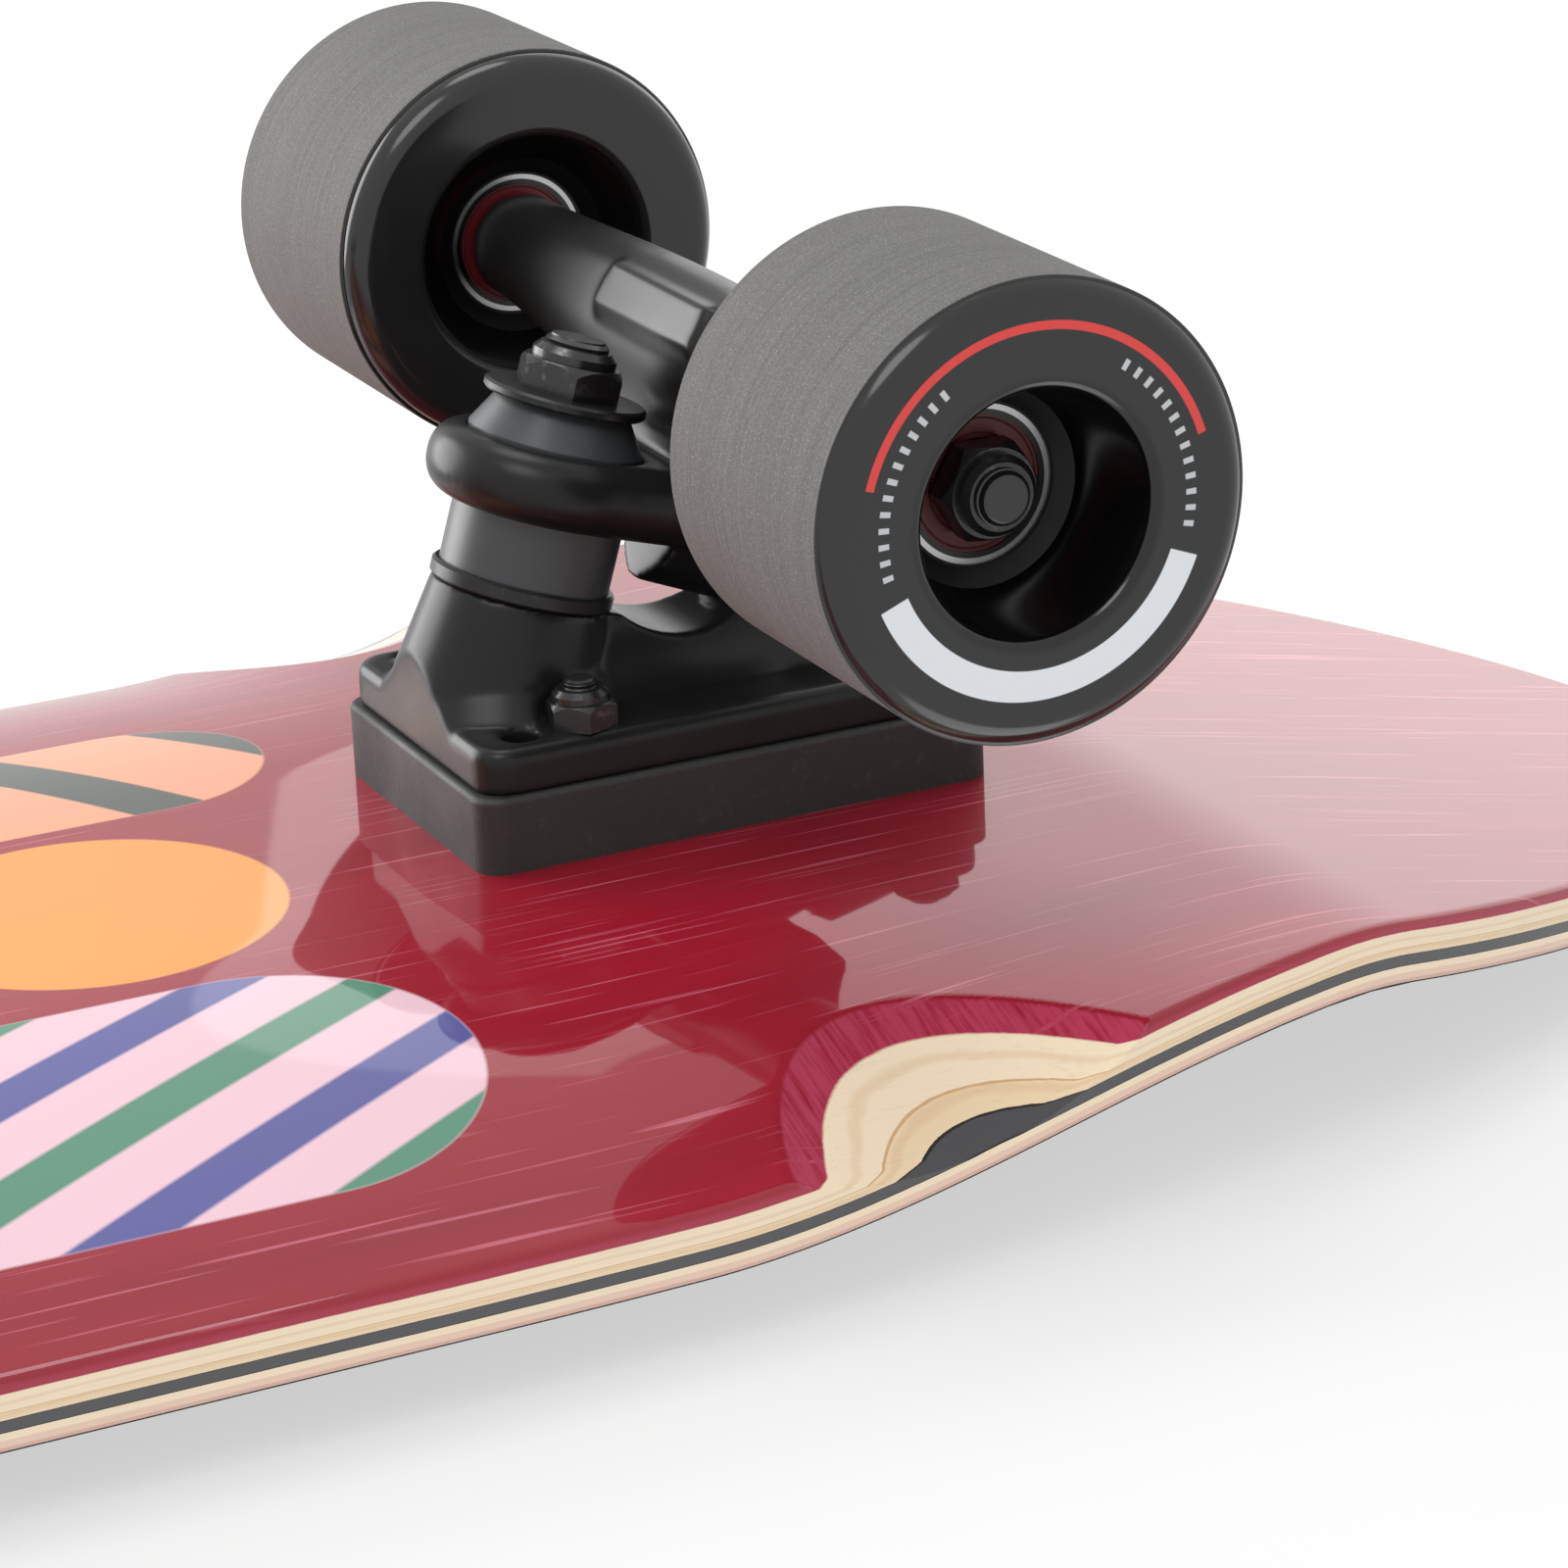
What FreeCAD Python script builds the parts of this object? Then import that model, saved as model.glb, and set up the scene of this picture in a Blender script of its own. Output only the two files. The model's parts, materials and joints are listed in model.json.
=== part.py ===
import FreeCAD, Part
import math
import os

# Longboard skateboard standing on its wheels: +X along the board, +Y across, +Z up, ground at Z 0.
# Each truck is built upside down over the deck's flat underside (height h measured towards the
# ground, x towards the board's end), then turned over and set at its end of the board.

V = FreeCAD.Vector

# --- board ---
board_length = 889.0
wheelbase = 549.0
max_half_width = 121.5
taper_start = 100.0
taper_power = 2.95
nose_power = 0.585
concave_mid = 13.4
concave_kick = 0.6
concave_flat = 31.0
concave_fade_from = -58.0
kick_start = 43.0
kick_bend = 75.0
kick_slope = 0.2
deck_drop = 98.5

# --- plies from the underside up: name, thickness ---
plies = (
    ("ply_1_stained_veneer", 1.1),
    ("ply_2_maple", 1.2),
    ("ply_3_maple_cross", 1.2),
    ("ply_4_maple_tan", 1.1),
    ("ply_5_charcoal", 1.7),
    ("ply_6_maple", 1.0),
    ("ply_7_maple_rose", 0.9),
    ("ply_8_top_veneer", 0.5),
)
grip_thickness = 0.7
strip_half_length = 150.0
strip_half_width = 25.0
strip_depth = 0.3
blank_height = 300.0

# --- drum-sanded wheel wells, centred behind each axle ---
well_drum_radius = 70.0
well_back = 25.0
well_inner_y = 90.0
well_rise = 0.37
well_depth = 6.0
well_drum_lead = 40.0
well_drum_length = 100.0

# --- truck mounting ---
hole_pitch_x = 53.98
hole_pitch_y = 41.28
kingpin_hole_x = -29.4
spare_hole_step = 9.525
bolt_radius = 2.4
bolt_hole_radius = 2.7
bolt_head_radius = 4.75
bolt_end_h = 25.2
bolt_drill_lead = 20.0
bolt_drill_length = 60.0
bolt_nut_flats = 9.5
bolt_nut_height = 5.6
nut_hex_share = 0.68
collar_share = 0.44
collar_chamfer = 0.14
hex_chamfer = 1.15

# --- riser and baseplate ---
riser_x = (-48.4, 33.6)
riser_half_width = 27.5
riser_corner = 4.0
riser_height = 11.4
riser_edge = 0.9
plate_inset = 1.0
plate_corner = 5.0
plate_thickness = 6.8
plate_edge = 1.8
casting_top = 60.0
web_sink = 1.0
saddle_front = (-30.0, 31.5)
saddle_dip_start = (-17.5, 29.8)
saddle_dip = (-6.0, 24.3)
saddle_dip_end = (6.5, 30.5)
saddle_peak = (14.0, 33.5)
saddle_tail = (31.0, 16.5)
saddle_foot = (21.0, 17.6)
saddle_flank = (9.8, 22.6)
saddle_crest = (7.6, 31.0)
nut_clearance = 0.8

# --- kingpin stack, distances s along the kingpin from the cup washer's floor ---
kingpin_foot = V(-29.0, 0, 34.2)
kingpin_lean = 17.6
kingpin_radius = 4.76
kingpin_seat_s = -15.5
kingpin_head_height = 5.0
kingpin_flats = 14.3
kingpin_end_s = 36.8
boss_top_radius = 13.3
boss_foot_radius = 16.6
boss_depth = 22.5
boss_keep_out = 2.5
skirt_x = -33.3
skirt_spread = 3.0
skirt_height = 5.5
head_clearance = 0.6
cup_radius = 13.7
cup_floor = 1.5
cup_rim = 1.0
cup_wall_gap = 0.05
barrel_radius = 12.75
ring_low_s = 10.4
ring_thickness = 11.2
ring_radius = 18.0
ring_round = 5.0
ring_bore = 7.5
low_seat = 3.5
top_seat = 3.0
cone_radius = 13.0
cone_tip_radius = 9.8
top_washer_s = 27.0
top_washer_radius = 12.1
top_washer_thickness = 1.6
washer_edge = 0.4
kingpin_nut_height = 6.8
bushing_bore = 4.9
seat_gap = 0.1

# --- pivot ---
pivot_tip = V(22.0, 0, 22.0)
nose_radius = 4.8
nose_centre = 2.0
nose_root_radius = 6.6
nose_root = 17.0
pivot_cup_wall = 1.7
pivot_cup_back = 4.6
pivot_gap = 0.08
housing_radius = 11.2
housing_mouth = 12.5
housing_length = 30.0
end_round_centre = V(20.5, 0, 20.5)
end_round_spare = 1.6
nose_clearance = 1.4
nose_overlap = 2.5

# --- axle, wheels, bearings ---
axle_h = 67.0
axle_radius = 4.0
axle_stand = 1.5
axle_chamfer = 1.0
beam_stations = (0.34, 0.55, 0.74, 0.89, 1.0)
beam_flat = 4.0
beam_widen = 0.9
beam_rise = 1.3
beam_deepen = 10.5
beam_shift = 1.2
beam_reach = 30.0
tie_waist = (24.0, 15.5)
tie_end = (34.0, 12.5)
tie_shortest_rim = 9.0
web_half = 18.0
web_top_half = 16.5
web_foot_half = 11.5
web_trim_top = 82.0
web_trim_h = 60.0
web_trim_foot = 36.0
web_brow = (-5.0, 75.6)
web_front = (-8.6, 70.0)
web_throat = (-5.8, 60.5)
web_hollow = (-6.2, 52.5)
web_foot_sink = 2.0
web_foot_side = 16.5
web_under = (4.0, 40.0)
web_heel = (11.6, 36.5)
web_back = (15.0, 46.0)
web_waist = (12.0, 56.0)
web_shoulder = (9.0, 72.0)
shoulder_y = 65.0
shoulder_radius = 8.3
washer_thickness = 0.8
washer_radius = 5.6
axle_nut_flats = 12.7
axle_nut_height = 6.4
bearing_inner_radius = 6.1
bearing_race_radius = 9.4
bearing_radius = 11.0
bearing_width = 7.0
spacer_width = 10.3
spacer_radius = 5.3
shield_inset = 0.35
shield_thickness = 0.5
shield_gap = 0.06
wheel_radius = 31.5
wheel_in_y = 57.8
wheel_out_y = 107.7
tread_in_y = 61.6
tread_out_y = 105.7
lip_drop = 0.5
lip_step = 0.15
out_face_radius = 27.8
in_face_radius = 27.2
out_lip_bulge = (1.35, 0.5)
in_lip_bulge = (1.16, 1.07)
mouth_out_radius = 16.7
mouth_in_radius = 18.4
mouth_round = 1.2
core_radius = 14.4
core_bore = 9.6
core_end = 1.9
core_lead_radius = 11.4
core_lead_start = 0.3
core_lip = 0.6

# --- derived ---
axle_x = wheelbase / 2
deck_thickness = sum(thickness for name, thickness in plies) + grip_thickness
lean = math.radians(kingpin_lean)
kingpin_axis = V(math.sin(lean), 0, math.cos(lean))
kingpin_side = V(math.cos(lean), 0, -math.sin(lean))
ring_centre = kingpin_foot + kingpin_axis * (ring_low_s + ring_thickness / 2)
pivot_axis = (ring_centre - pivot_tip).normalize()
bearing_in_y = shoulder_y + washer_thickness
bearing_out_y = bearing_in_y + bearing_width + spacer_width
bearing_end_y = bearing_out_y + bearing_width
axle_half = bearing_end_y + washer_thickness + axle_nut_height + axle_stand
bolt_x = (kingpin_hole_x, kingpin_hole_x + hole_pitch_x)
bolt_y = (-hole_pitch_y / 2, hole_pitch_y / 2)


def smooth_step(t):
    t = min(max(t, 0.0), 1.0)
    return t * t * (3 - 2 * t)


def half_width(reach):
    """Half the board's width at a distance beyond the axle, negative towards the middle."""
    tip = (board_length - wheelbase) / 2
    t = min(max((reach + taper_start) / (tip + taper_start), 0.0), 1.0)
    return max_half_width * (1 - t ** taper_power) ** nose_power


def rail_height(x):
    """Height of the rails over the spine: deep in the middle, shallow at the kicks."""
    fade = smooth_step((abs(x) - axle_x - concave_fade_from) / (kick_start - concave_fade_from))
    return concave_mid + (concave_kick - concave_mid) * fade


def rail_share(y):
    """Share of the rail height at a distance across: none over the flat spine."""
    u = max(abs(y) - concave_flat, 0.0) / (max_half_width - concave_flat)
    return u * u


def kick_height(x):
    """Lift of the upturned ends: a bend, then a straight slope."""
    run = max(abs(x) - axle_x - kick_start, 0.0)
    bend = kick_bend * kick_slope
    if run < bend:
        return run * run / (2 * kick_bend)
    return bend * bend / (2 * kick_bend) + kick_slope * (run - bend)


def underside(x, y):
    return deck_drop + kick_height(x) + rail_height(x) * rail_share(y)


def cubic_poles(knots, value, slope):
    """Poles of the cubic spline through the knots, with places and values side by side."""
    poles = [(knots[0], value(knots[0]))]
    for low, high in zip(knots, knots[1:]):
        third = (high - low) / 3
        poles.append((low + third, value(low) + slope(low) * third))
        poles.append((high - third, value(high) - slope(high) * third))
    return poles + [(knots[-1], value(knots[-1]))]


def mirrored(knots):
    return [-knot for knot in knots[::-1]] + list(knots)


def rate(law):
    """Slope of a law by a small central step."""
    return lambda x: (law(x + 1e-4) - law(x - 1e-4)) / 2e-4


def underside_face():
    """The underside as one exact spline face: end kick plus rail height across the width."""
    xs = mirrored((axle_x + concave_fade_from, axle_x + kick_start,
                   axle_x + kick_start + kick_bend * kick_slope, board_length / 2 + 6))
    ys = mirrored((concave_flat, max_half_width + 6))
    kick = cubic_poles(xs, kick_height, rate(kick_height))
    rail = cubic_poles(xs, rail_height, rate(rail_height))
    curve = cubic_poles(ys, rail_share, rate(rail_share))
    grid = []
    for (x, lift), (x_again, depth) in zip(kick, rail):
        grid.append([V(x, y, deck_drop + lift + depth * share) for y, share in curve])
    surface = Part.BSplineSurface()
    surface.buildFromPolesMultsKnots(
        grid, [4] + [2] * (len(xs) - 2) + [4], [4] + [2] * (len(ys) - 2) + [4], xs, ys, False, False, 3, 3
    )
    return surface.toShape()


def outline_wire():
    """Board outline through the half-width law, one smooth curve for each end and side."""
    tip = (board_length - wheelbase) / 2
    span = tip + taper_start
    steps = 14
    corner = []
    for i in range(steps + 1):
        angle = math.pi / 2 * i / steps
        reach = span * math.cos(angle) - taper_start
        corner.append(V(axle_x + reach, half_width(reach), 0))
    front = corner[::-1] + [V(p.x, -p.y, 0) for p in corner[1:]]
    end = Part.BSplineCurve()
    end.interpolate(front, InitialTangent=V(1, 0, 0), FinalTangent=V(-1, 0, 0))
    front_edge = end.toShape()
    rear_edge = front_edge.copy()
    rear_edge.rotate(V(0, 0, 0), V(0, 0, 1), 180)
    straight_x = axle_x - taper_start
    sides = []
    for y in (max_half_width, -max_half_width):
        sides.append(Part.makeLine(V(-straight_x, y, 0), V(straight_x, y, 0)))
    return Part.Wire(Part.__sortEdges__([front_edge, sides[0], rear_edge, sides[1]]))


def well_cutters():
    """Tilted drums that graze the underside beside each wheel."""
    cutters = []
    slope = math.atan(well_rise)
    for end in (1, -1):
        for side in (1, -1):
            direction = V(0, side * math.cos(slope), math.sin(slope))
            normal = V(0, side * math.sin(slope), -math.cos(slope))
            x = end * (axle_x - well_back)
            start = V(x, side * well_inner_y, underside(x, well_inner_y))
            base = start + normal * well_drum_radius - direction * well_drum_lead
            cutters.append(Part.makeCylinder(well_drum_radius, well_drum_length, base, direction))
    return cutters


def bolt_places():
    """Bolt axes under one truck, in the truck's own frame."""
    return [(x, y) for x in bolt_x for y in bolt_y]


def turn_over(shape, end):
    """Set a truck piece at its end of the board, wheels towards the ground."""
    placed = shape.copy()
    placed.rotate(V(0, 0, 0), V(1, 0, 0), 180)
    placed.translate(V(axle_x, 0, deck_drop))
    if end < 0:
        placed.rotate(V(0, 0, 0), V(0, 0, 1), 180)
    return placed


def ply_blank(outline, top_level):
    """Outline drilled for the bolts, each hole clearing the conical head at the ply's upper face."""
    below_top = deck_thickness - top_level
    radius = max(bolt_hole_radius, bolt_head_radius - below_top + seat_gap)
    drilled = Part.Face(outline)
    for end in (1, -1):
        for x, y in bolt_places():
            centre = V(end * (axle_x + x), y, 0)
            circle = Part.Wire(Part.Circle(centre, V(0, 0, 1), radius).toShape())
            drilled = drilled.cut(Part.Face(circle))
    return drilled.extrude(V(0, 0, blank_height))


def bolt_head(x, y):
    """Right-angled cone of a flat-headed bolt, flush with the grip."""
    depth = bolt_head_radius - bolt_radius
    return Part.makeCone(bolt_head_radius, bolt_radius, depth, V(x, y, -deck_thickness), V(0, 0, 1))


def largest_solid(shape):
    return max(shape.Solids, key=lambda solid: solid.Volume)


def deck_layers():
    """Every ply and the grip sheet, pressed on one shared curved face."""
    face = underside_face()
    outline = outline_wire()
    wells = well_cutters()
    layers = {}
    level = 0.0
    for name, thickness in plies + (("grip_sheet", grip_thickness),):
        sheet = face.copy()
        sheet.translate(V(0, 0, level))
        blank = ply_blank(outline, level + thickness)
        layer = sheet.extrude(V(0, 0, thickness)).common(blank)
        if level < well_depth:
            layer = layer.cut(wells)
        layers[name] = largest_solid(layer)
        level += thickness
    layers["grip_sheet"] = with_level_strip(layers["grip_sheet"])
    return layers


def with_level_strip(grip):
    """Grip whose upper side is a true plane on the dead-flat strip between the trucks."""
    length = 2 * strip_half_length
    width = 2 * strip_half_width
    corner = V(-strip_half_length, -strip_half_width, deck_drop + deck_thickness - strip_depth)
    strip = Part.makeBox(length, width, strip_depth, corner)
    recess = Part.makeBox(length, width, 2 * strip_depth, corner)
    return largest_solid(grip.cut(recess).fuse(strip))


def rounded_block(x_range, half, low, high, corner, edge):
    block = Part.makeBox(x_range[1] - x_range[0], 2 * half, high - low, V(x_range[0], -half, low))
    uprights = [e for e in block.Edges if abs(e.tangentAt(0).z) > 0.9]
    block = block.makeFillet(corner, uprights)
    if edge == 0:
        return block
    rim = [e for e in block.Edges if min(v.Z for v in e.Vertexes) > high - 0.01]
    return block.makeFillet(edge, rim)


def bolt_shafts(xs):
    shafts = []
    for x in xs:
        for y in bolt_y:
            start = V(x, y, -bolt_drill_lead)
            shafts.append(Part.makeCylinder(bolt_hole_radius, bolt_drill_length, start, V(0, 0, 1)))
    return shafts


def riser():
    block = rounded_block(riser_x, riser_half_width, 0, riser_height, riser_corner, riser_edge)
    return block.cut(bolt_shafts(bolt_x))


def on_kingpin(s, side=0.0):
    return kingpin_foot + kingpin_axis * s + kingpin_side * side


def kingpin_ring(outer, inner, low, high):
    disc = Part.makeCylinder(outer, high - low, on_kingpin(low), kingpin_axis)
    return disc.cut(Part.makeCylinder(inner, high - low + 2, on_kingpin(low - 1), kingpin_axis))


def hex_prism(flats, height, base, axis, turn=0.0):
    """Hexagonal prism with its corners chamfered on the outer end."""
    radius = flats / math.sqrt(3)
    corners = []
    for i in range(7):
        angle = math.radians(60 * i + turn)
        corners.append(V(radius * math.cos(angle), radius * math.sin(angle), 0))
    prism = Part.Face(Part.makePolygon(corners)).extrude(V(0, 0, height))
    slant = (radius - flats / 2) * hex_chamfer
    trim = Part.makeCone(radius + height - slant, radius - slant, height, V(0, 0, 0), V(0, 0, 1))
    prism = prism.common(trim)
    prism.Placement = FreeCAD.Placement(base, FreeCAD.Rotation(V(0, 0, 1), axis))
    return prism


def lock_nut(flats, height, bore, base, axis, turn=0.0):
    """Nylon-insert nut: hexagon below, round collar over the insert."""
    hexagon = hex_prism(flats, height * nut_hex_share, base, axis, turn)
    collar = Part.makeCylinder(flats * collar_share, height, base, axis)
    rim = [e for e in collar.Edges if e.Closed and (e.valueAt(0) - base).dot(axis) > height - 0.01]
    collar = collar.makeChamfer(height * collar_chamfer, rim)
    hole = Part.makeCylinder(bore, height + 2, base - axis, axis)
    return hexagon.fuse(collar).cut(hole).removeSplitter()


def chained_wire(start, *steps):
    """Closed wire of steps from one point on: one point makes a line, two make an arc."""
    edges = []
    here = start
    for step in steps:
        if len(step) == 1:
            edges.append(Part.makeLine(here, step[0]))
        else:
            edges.append(Part.Arc(here, step[0], step[1]).toShape())
        here = step[-1]
    return Part.Wire(edges)


def centred_slab(wire, direction, half):
    """Flat profile thickened equally to both sides."""
    slab = Part.Face(wire).extrude(direction * 2 * half)
    slab.translate(direction * -half)
    return slab


def saddle_profile():
    """Side view of the saddle: boss, dished top and the rise to the pivot housing."""
    low = riser_height + web_sink

    def at(x, h):
        return V(x, 0, h)

    return chained_wire(
        at(saddle_front[0], low),
        (at(*saddle_front),),
        (at(*saddle_dip_start),),
        (at(*saddle_dip), at(*saddle_dip_end)),
        (at(*saddle_peak),),
        (at(*saddle_tail),),
        (at(saddle_tail[0], low),),
        (at(saddle_front[0], low),),
    )


def saddle_section():
    """End view of the saddle: a narrow crest spreading down both flanks to the plate."""
    low = riser_height + web_sink

    def at(y, h):
        return V(0, y, h)

    def mirror(point):
        return at(-point[0], point[1])

    return chained_wire(
        at(-saddle_foot[0], low),
        (at(saddle_foot[0], low),),
        (at(*saddle_foot),),
        (at(*saddle_flank), at(*saddle_crest)),
        (at(saddle_crest[0], casting_top),),
        (at(-saddle_crest[0], casting_top),),
        (mirror(saddle_crest),),
        (mirror(saddle_flank), mirror(saddle_foot)),
        (at(-saddle_foot[0], low),),
    )


def saddle_web():
    """Web between the kingpin boss and the pivot housing."""
    side_view = centred_slab(saddle_profile(), V(0, 1, 0), riser_half_width)
    end_view = centred_slab(saddle_section(), V(1, 0, 0), -riser_x[0])
    return side_view.common(end_view)


def revolve_about(points, origin, axis):
    """Turn a profile of (distance along the axis, radius) pairs into a solid."""
    corners = [V(radius, 0, along) for along, radius in points]
    face = Part.Face(Part.makePolygon(corners + [corners[0]]))
    solid = face.revolve(V(0, 0, 0), V(0, 0, 1), 360)
    solid.Placement = FreeCAD.Placement(origin, FreeCAD.Rotation(V(0, 0, 1), axis))
    return solid


def plate_castings(top):
    """Plate with the boss, its skirt, the saddle and the pivot housing."""
    x_range = (riser_x[0] + plate_inset, riser_x[1] - plate_inset)
    half = riser_half_width - plate_inset
    plate = rounded_block(x_range, half, riser_height, top, plate_corner, plate_edge)
    boss_base = on_kingpin(-boss_depth)
    boss = Part.makeCone(
        boss_foot_radius, boss_top_radius, boss_depth - cup_floor, boss_base, kingpin_axis
    )
    skirt = Part.makeCone(
        boss_foot_radius + skirt_spread,
        boss_foot_radius - skirt_spread / 2,
        skirt_height,
        V(skirt_x, 0, top - web_sink),
        V(0, 0, 1),
    )
    mouth = pivot_tip + pivot_axis * housing_mouth
    housing_back = mouth - pivot_axis * housing_length
    housing = Part.makeCylinder(housing_radius, housing_length, housing_back, pivot_axis)
    end_round = Part.makeSphere(housing_radius + end_round_spare, end_round_centre)
    body = plate.fuse([boss, skirt, saddle_web(), housing, end_round])
    envelope = rounded_block(x_range, half, riser_height, casting_top, plate_corner, 0)
    return body.common(envelope)


def socket_cuts():
    """Pivot socket, and the way in for the hanger's nose."""
    mouth = pivot_tip + pivot_axis * housing_mouth
    way_in = Part.makeCylinder(nose_root_radius + nose_clearance, housing_length, mouth, pivot_axis)
    base = pivot_tip - pivot_axis * pivot_cup_back
    depth = pivot_cup_back + housing_mouth + housing_length
    socket = Part.makeCylinder(nose_root_radius + pivot_cup_wall, depth, base, pivot_axis)
    return [way_in, socket]


def kingpin_cuts():
    """Kingpin hole, the pocket for its head and a level seat on top of the boss."""
    head_radius = kingpin_flats / math.sqrt(3) + head_clearance
    head_pocket = on_kingpin(kingpin_seat_s - casting_top)
    return [
        Part.makeCylinder(kingpin_radius + seat_gap, casting_top, on_kingpin(-boss_depth * 2), kingpin_axis),
        Part.makeCylinder(head_radius, casting_top, head_pocket, kingpin_axis),
        Part.makeCylinder(boss_top_radius + boss_keep_out, casting_top, on_kingpin(-cup_floor), kingpin_axis),
    ]


def baseplate():
    """Cast plate with six bolt holes; the outer pair is spare."""
    top = riser_height + plate_thickness
    cuts = bolt_shafts(bolt_x + (kingpin_hole_x - spare_hole_step,))
    nut_room = bolt_nut_flats / math.sqrt(3) + nut_clearance
    for x, y in bolt_places():
        cuts.append(Part.makeCylinder(nut_room, bolt_nut_height * 2, V(x, y, top), V(0, 0, 1)))
    cuts += kingpin_cuts() + socket_cuts()
    return largest_solid(plate_castings(top).cut(cuts).removeSplitter())


def pivot_cup():
    outer = nose_root_radius + pivot_cup_wall
    base = pivot_tip - pivot_axis * pivot_cup_back
    shell = Part.makeCylinder(outer, pivot_cup_back + housing_mouth, base, pivot_axis)
    return shell.cut(nose_solid(pivot_gap))


def nose_solid(spare):
    """Rounded nose and the cone behind it, about the pivot axis."""
    radius = nose_radius + spare
    points = [(nose_centre - radius, 0.0)]
    for i in range(1, 7):
        angle = math.pi / 2 * i / 6
        points.append((nose_centre - radius * math.cos(angle), radius * math.sin(angle)))
    points.append((nose_root, nose_root_radius + spare))
    points.append((34.0, nose_root_radius + 2.4 + spare))
    points.append((34.0, 0.0))
    return revolve_about(points, pivot_tip, pivot_axis)


def kingpin():
    head = hex_prism(kingpin_flats, kingpin_head_height, on_kingpin(kingpin_seat_s), kingpin_axis * -1)
    length = kingpin_end_s - kingpin_seat_s
    shank = Part.makeCylinder(kingpin_radius, length, on_kingpin(kingpin_seat_s), kingpin_axis)
    rim = [e for e in shank.Edges if e.Closed and (e.valueAt(0) - kingpin_foot).dot(kingpin_axis) > 30]
    shank = shank.makeChamfer(0.8, rim)
    return shank.fuse(head).removeSplitter()


def cup_washer():
    solid = kingpin_ring(cup_radius, kingpin_radius + seat_gap, -cup_floor, cup_rim)
    hollow = Part.makeCylinder(barrel_radius + cup_wall_gap, cup_rim * 2, on_kingpin(0), kingpin_axis)
    rims = [e for e in solid.Edges if e.Closed and e.Curve.Radius > barrel_radius]
    return solid.makeChamfer(washer_edge, rims).cut(hollow)


def barrel_bushing():
    top = ring_low_s + low_seat - seat_gap
    profile = [(0, bushing_bore), (0, barrel_radius - 0.8), (0.8, barrel_radius), (top - 1, barrel_radius)]
    profile += [(top, barrel_radius - 1), (top, bushing_bore)]
    return revolve_about(profile, kingpin_foot, kingpin_axis)


def cone_bushing():
    ring_top = ring_low_s + ring_thickness
    low = ring_top - top_seat + seat_gap
    profile = [(low, bushing_bore), (low, cone_radius - 1), (low + 1, cone_radius), (ring_top, cone_radius)]
    profile += [(top_washer_s, cone_tip_radius), (top_washer_s, bushing_bore)]
    return revolve_about(profile, kingpin_foot, kingpin_axis)


def top_washer():
    high = top_washer_s + top_washer_thickness
    washer = kingpin_ring(top_washer_radius, kingpin_radius + seat_gap, top_washer_s, high)
    rim = [e for e in washer.Edges if e.Closed and e.Curve.Radius > bushing_bore + 1]
    return washer.makeChamfer(washer_edge, rim)


def kingpin_nut():
    low = top_washer_s + top_washer_thickness
    return lock_nut(kingpin_flats, kingpin_nut_height, kingpin_radius, on_kingpin(low), kingpin_axis, 12)


def oval_wire(x, y, wide, low, high):
    """Upright oval across the beam, all sections starting at the same angle."""
    middle = (low + high) / 2
    tall = (high - low) / 2
    points = []
    for i in range(16):
        angle = 2 * math.pi * i / 16
        points.append(V(x + wide * math.sin(angle), y, middle + tall * math.cos(angle)))
    curve = Part.BSplineCurve()
    curve.interpolate(points, PeriodicFlag=True)
    return Part.Wire(curve.toShape())


def beam():
    """Axle beam swelling from the round shoulders to the deep middle."""
    wires = []
    stations = [share * shoulder_y for share in beam_stations]
    for y in [-y for y in reversed(stations)] + [0] + stations:
        t = smooth_step((shoulder_y - abs(y)) / (shoulder_y - beam_flat))
        wide = shoulder_radius + beam_widen * t
        high = axle_h + shoulder_radius + beam_rise * t
        low = axle_h - shoulder_radius - beam_deepen * t
        wires.append(oval_wire(beam_shift * t, y, wide, low, high))
    return Part.makeLoft(wires, True, False)


def yoke():
    """Bushing ring, and the plate that ties it to the beam, both full-round at the rim."""
    ring = Part.makeCylinder(ring_radius, ring_thickness, on_kingpin(ring_low_s), kingpin_axis)
    ring = ring.makeFillet(ring_round, [e for e in ring.Edges if e.Closed])
    near = [(0, ring_radius), tie_waist, tie_end]
    outline = near + [(along, -half) for along, half in reversed(near)]
    corners = [on_kingpin(ring_low_s, along) + V(0, half, 0) for along, half in outline]
    blank = Part.Face(Part.makePolygon(corners + [corners[0]]))
    tie = blank.extrude(kingpin_axis * ring_thickness)
    flat = [e for e in tie.Edges if abs(e.tangentAt(0).dot(kingpin_axis)) < 0.1]
    rims = [e for e in flat if e.Length > tie_shortest_rim and abs(e.tangentAt(0).y) < 0.9]
    tie = tie.makeFillet(ring_round - seat_gap, rims)
    return ring, tie


def hanger_web():
    """Raised middle panel that carries the beam down to the yoke."""

    def at(x, h):
        return V(x, 0, h)

    foot = on_kingpin(ring_low_s + ring_thickness - web_foot_sink, web_foot_side)
    profile = chained_wire(
        at(*web_brow),
        (at(*web_front),),
        (at(*web_throat),),
        (at(*web_hollow), foot),
        (at(*web_under),),
        (at(*web_heel),),
        (at(*web_back),),
        (at(*web_waist),),
        (at(*web_shoulder),),
        (at(*web_brow),),
    )
    slab = centred_slab(profile, V(0, 1, 0), web_half)
    trim = [V(0, web_top_half, web_trim_top), V(0, web_half, web_trim_h), V(0, web_foot_half, web_trim_foot)]
    trim += [V(0, -point.y, point.z) for point in reversed(trim)]
    outline = Part.makePolygon(trim + [trim[0]])
    return slab.common(centred_slab(outline, V(1, 0, 0), beam_reach))


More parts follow.
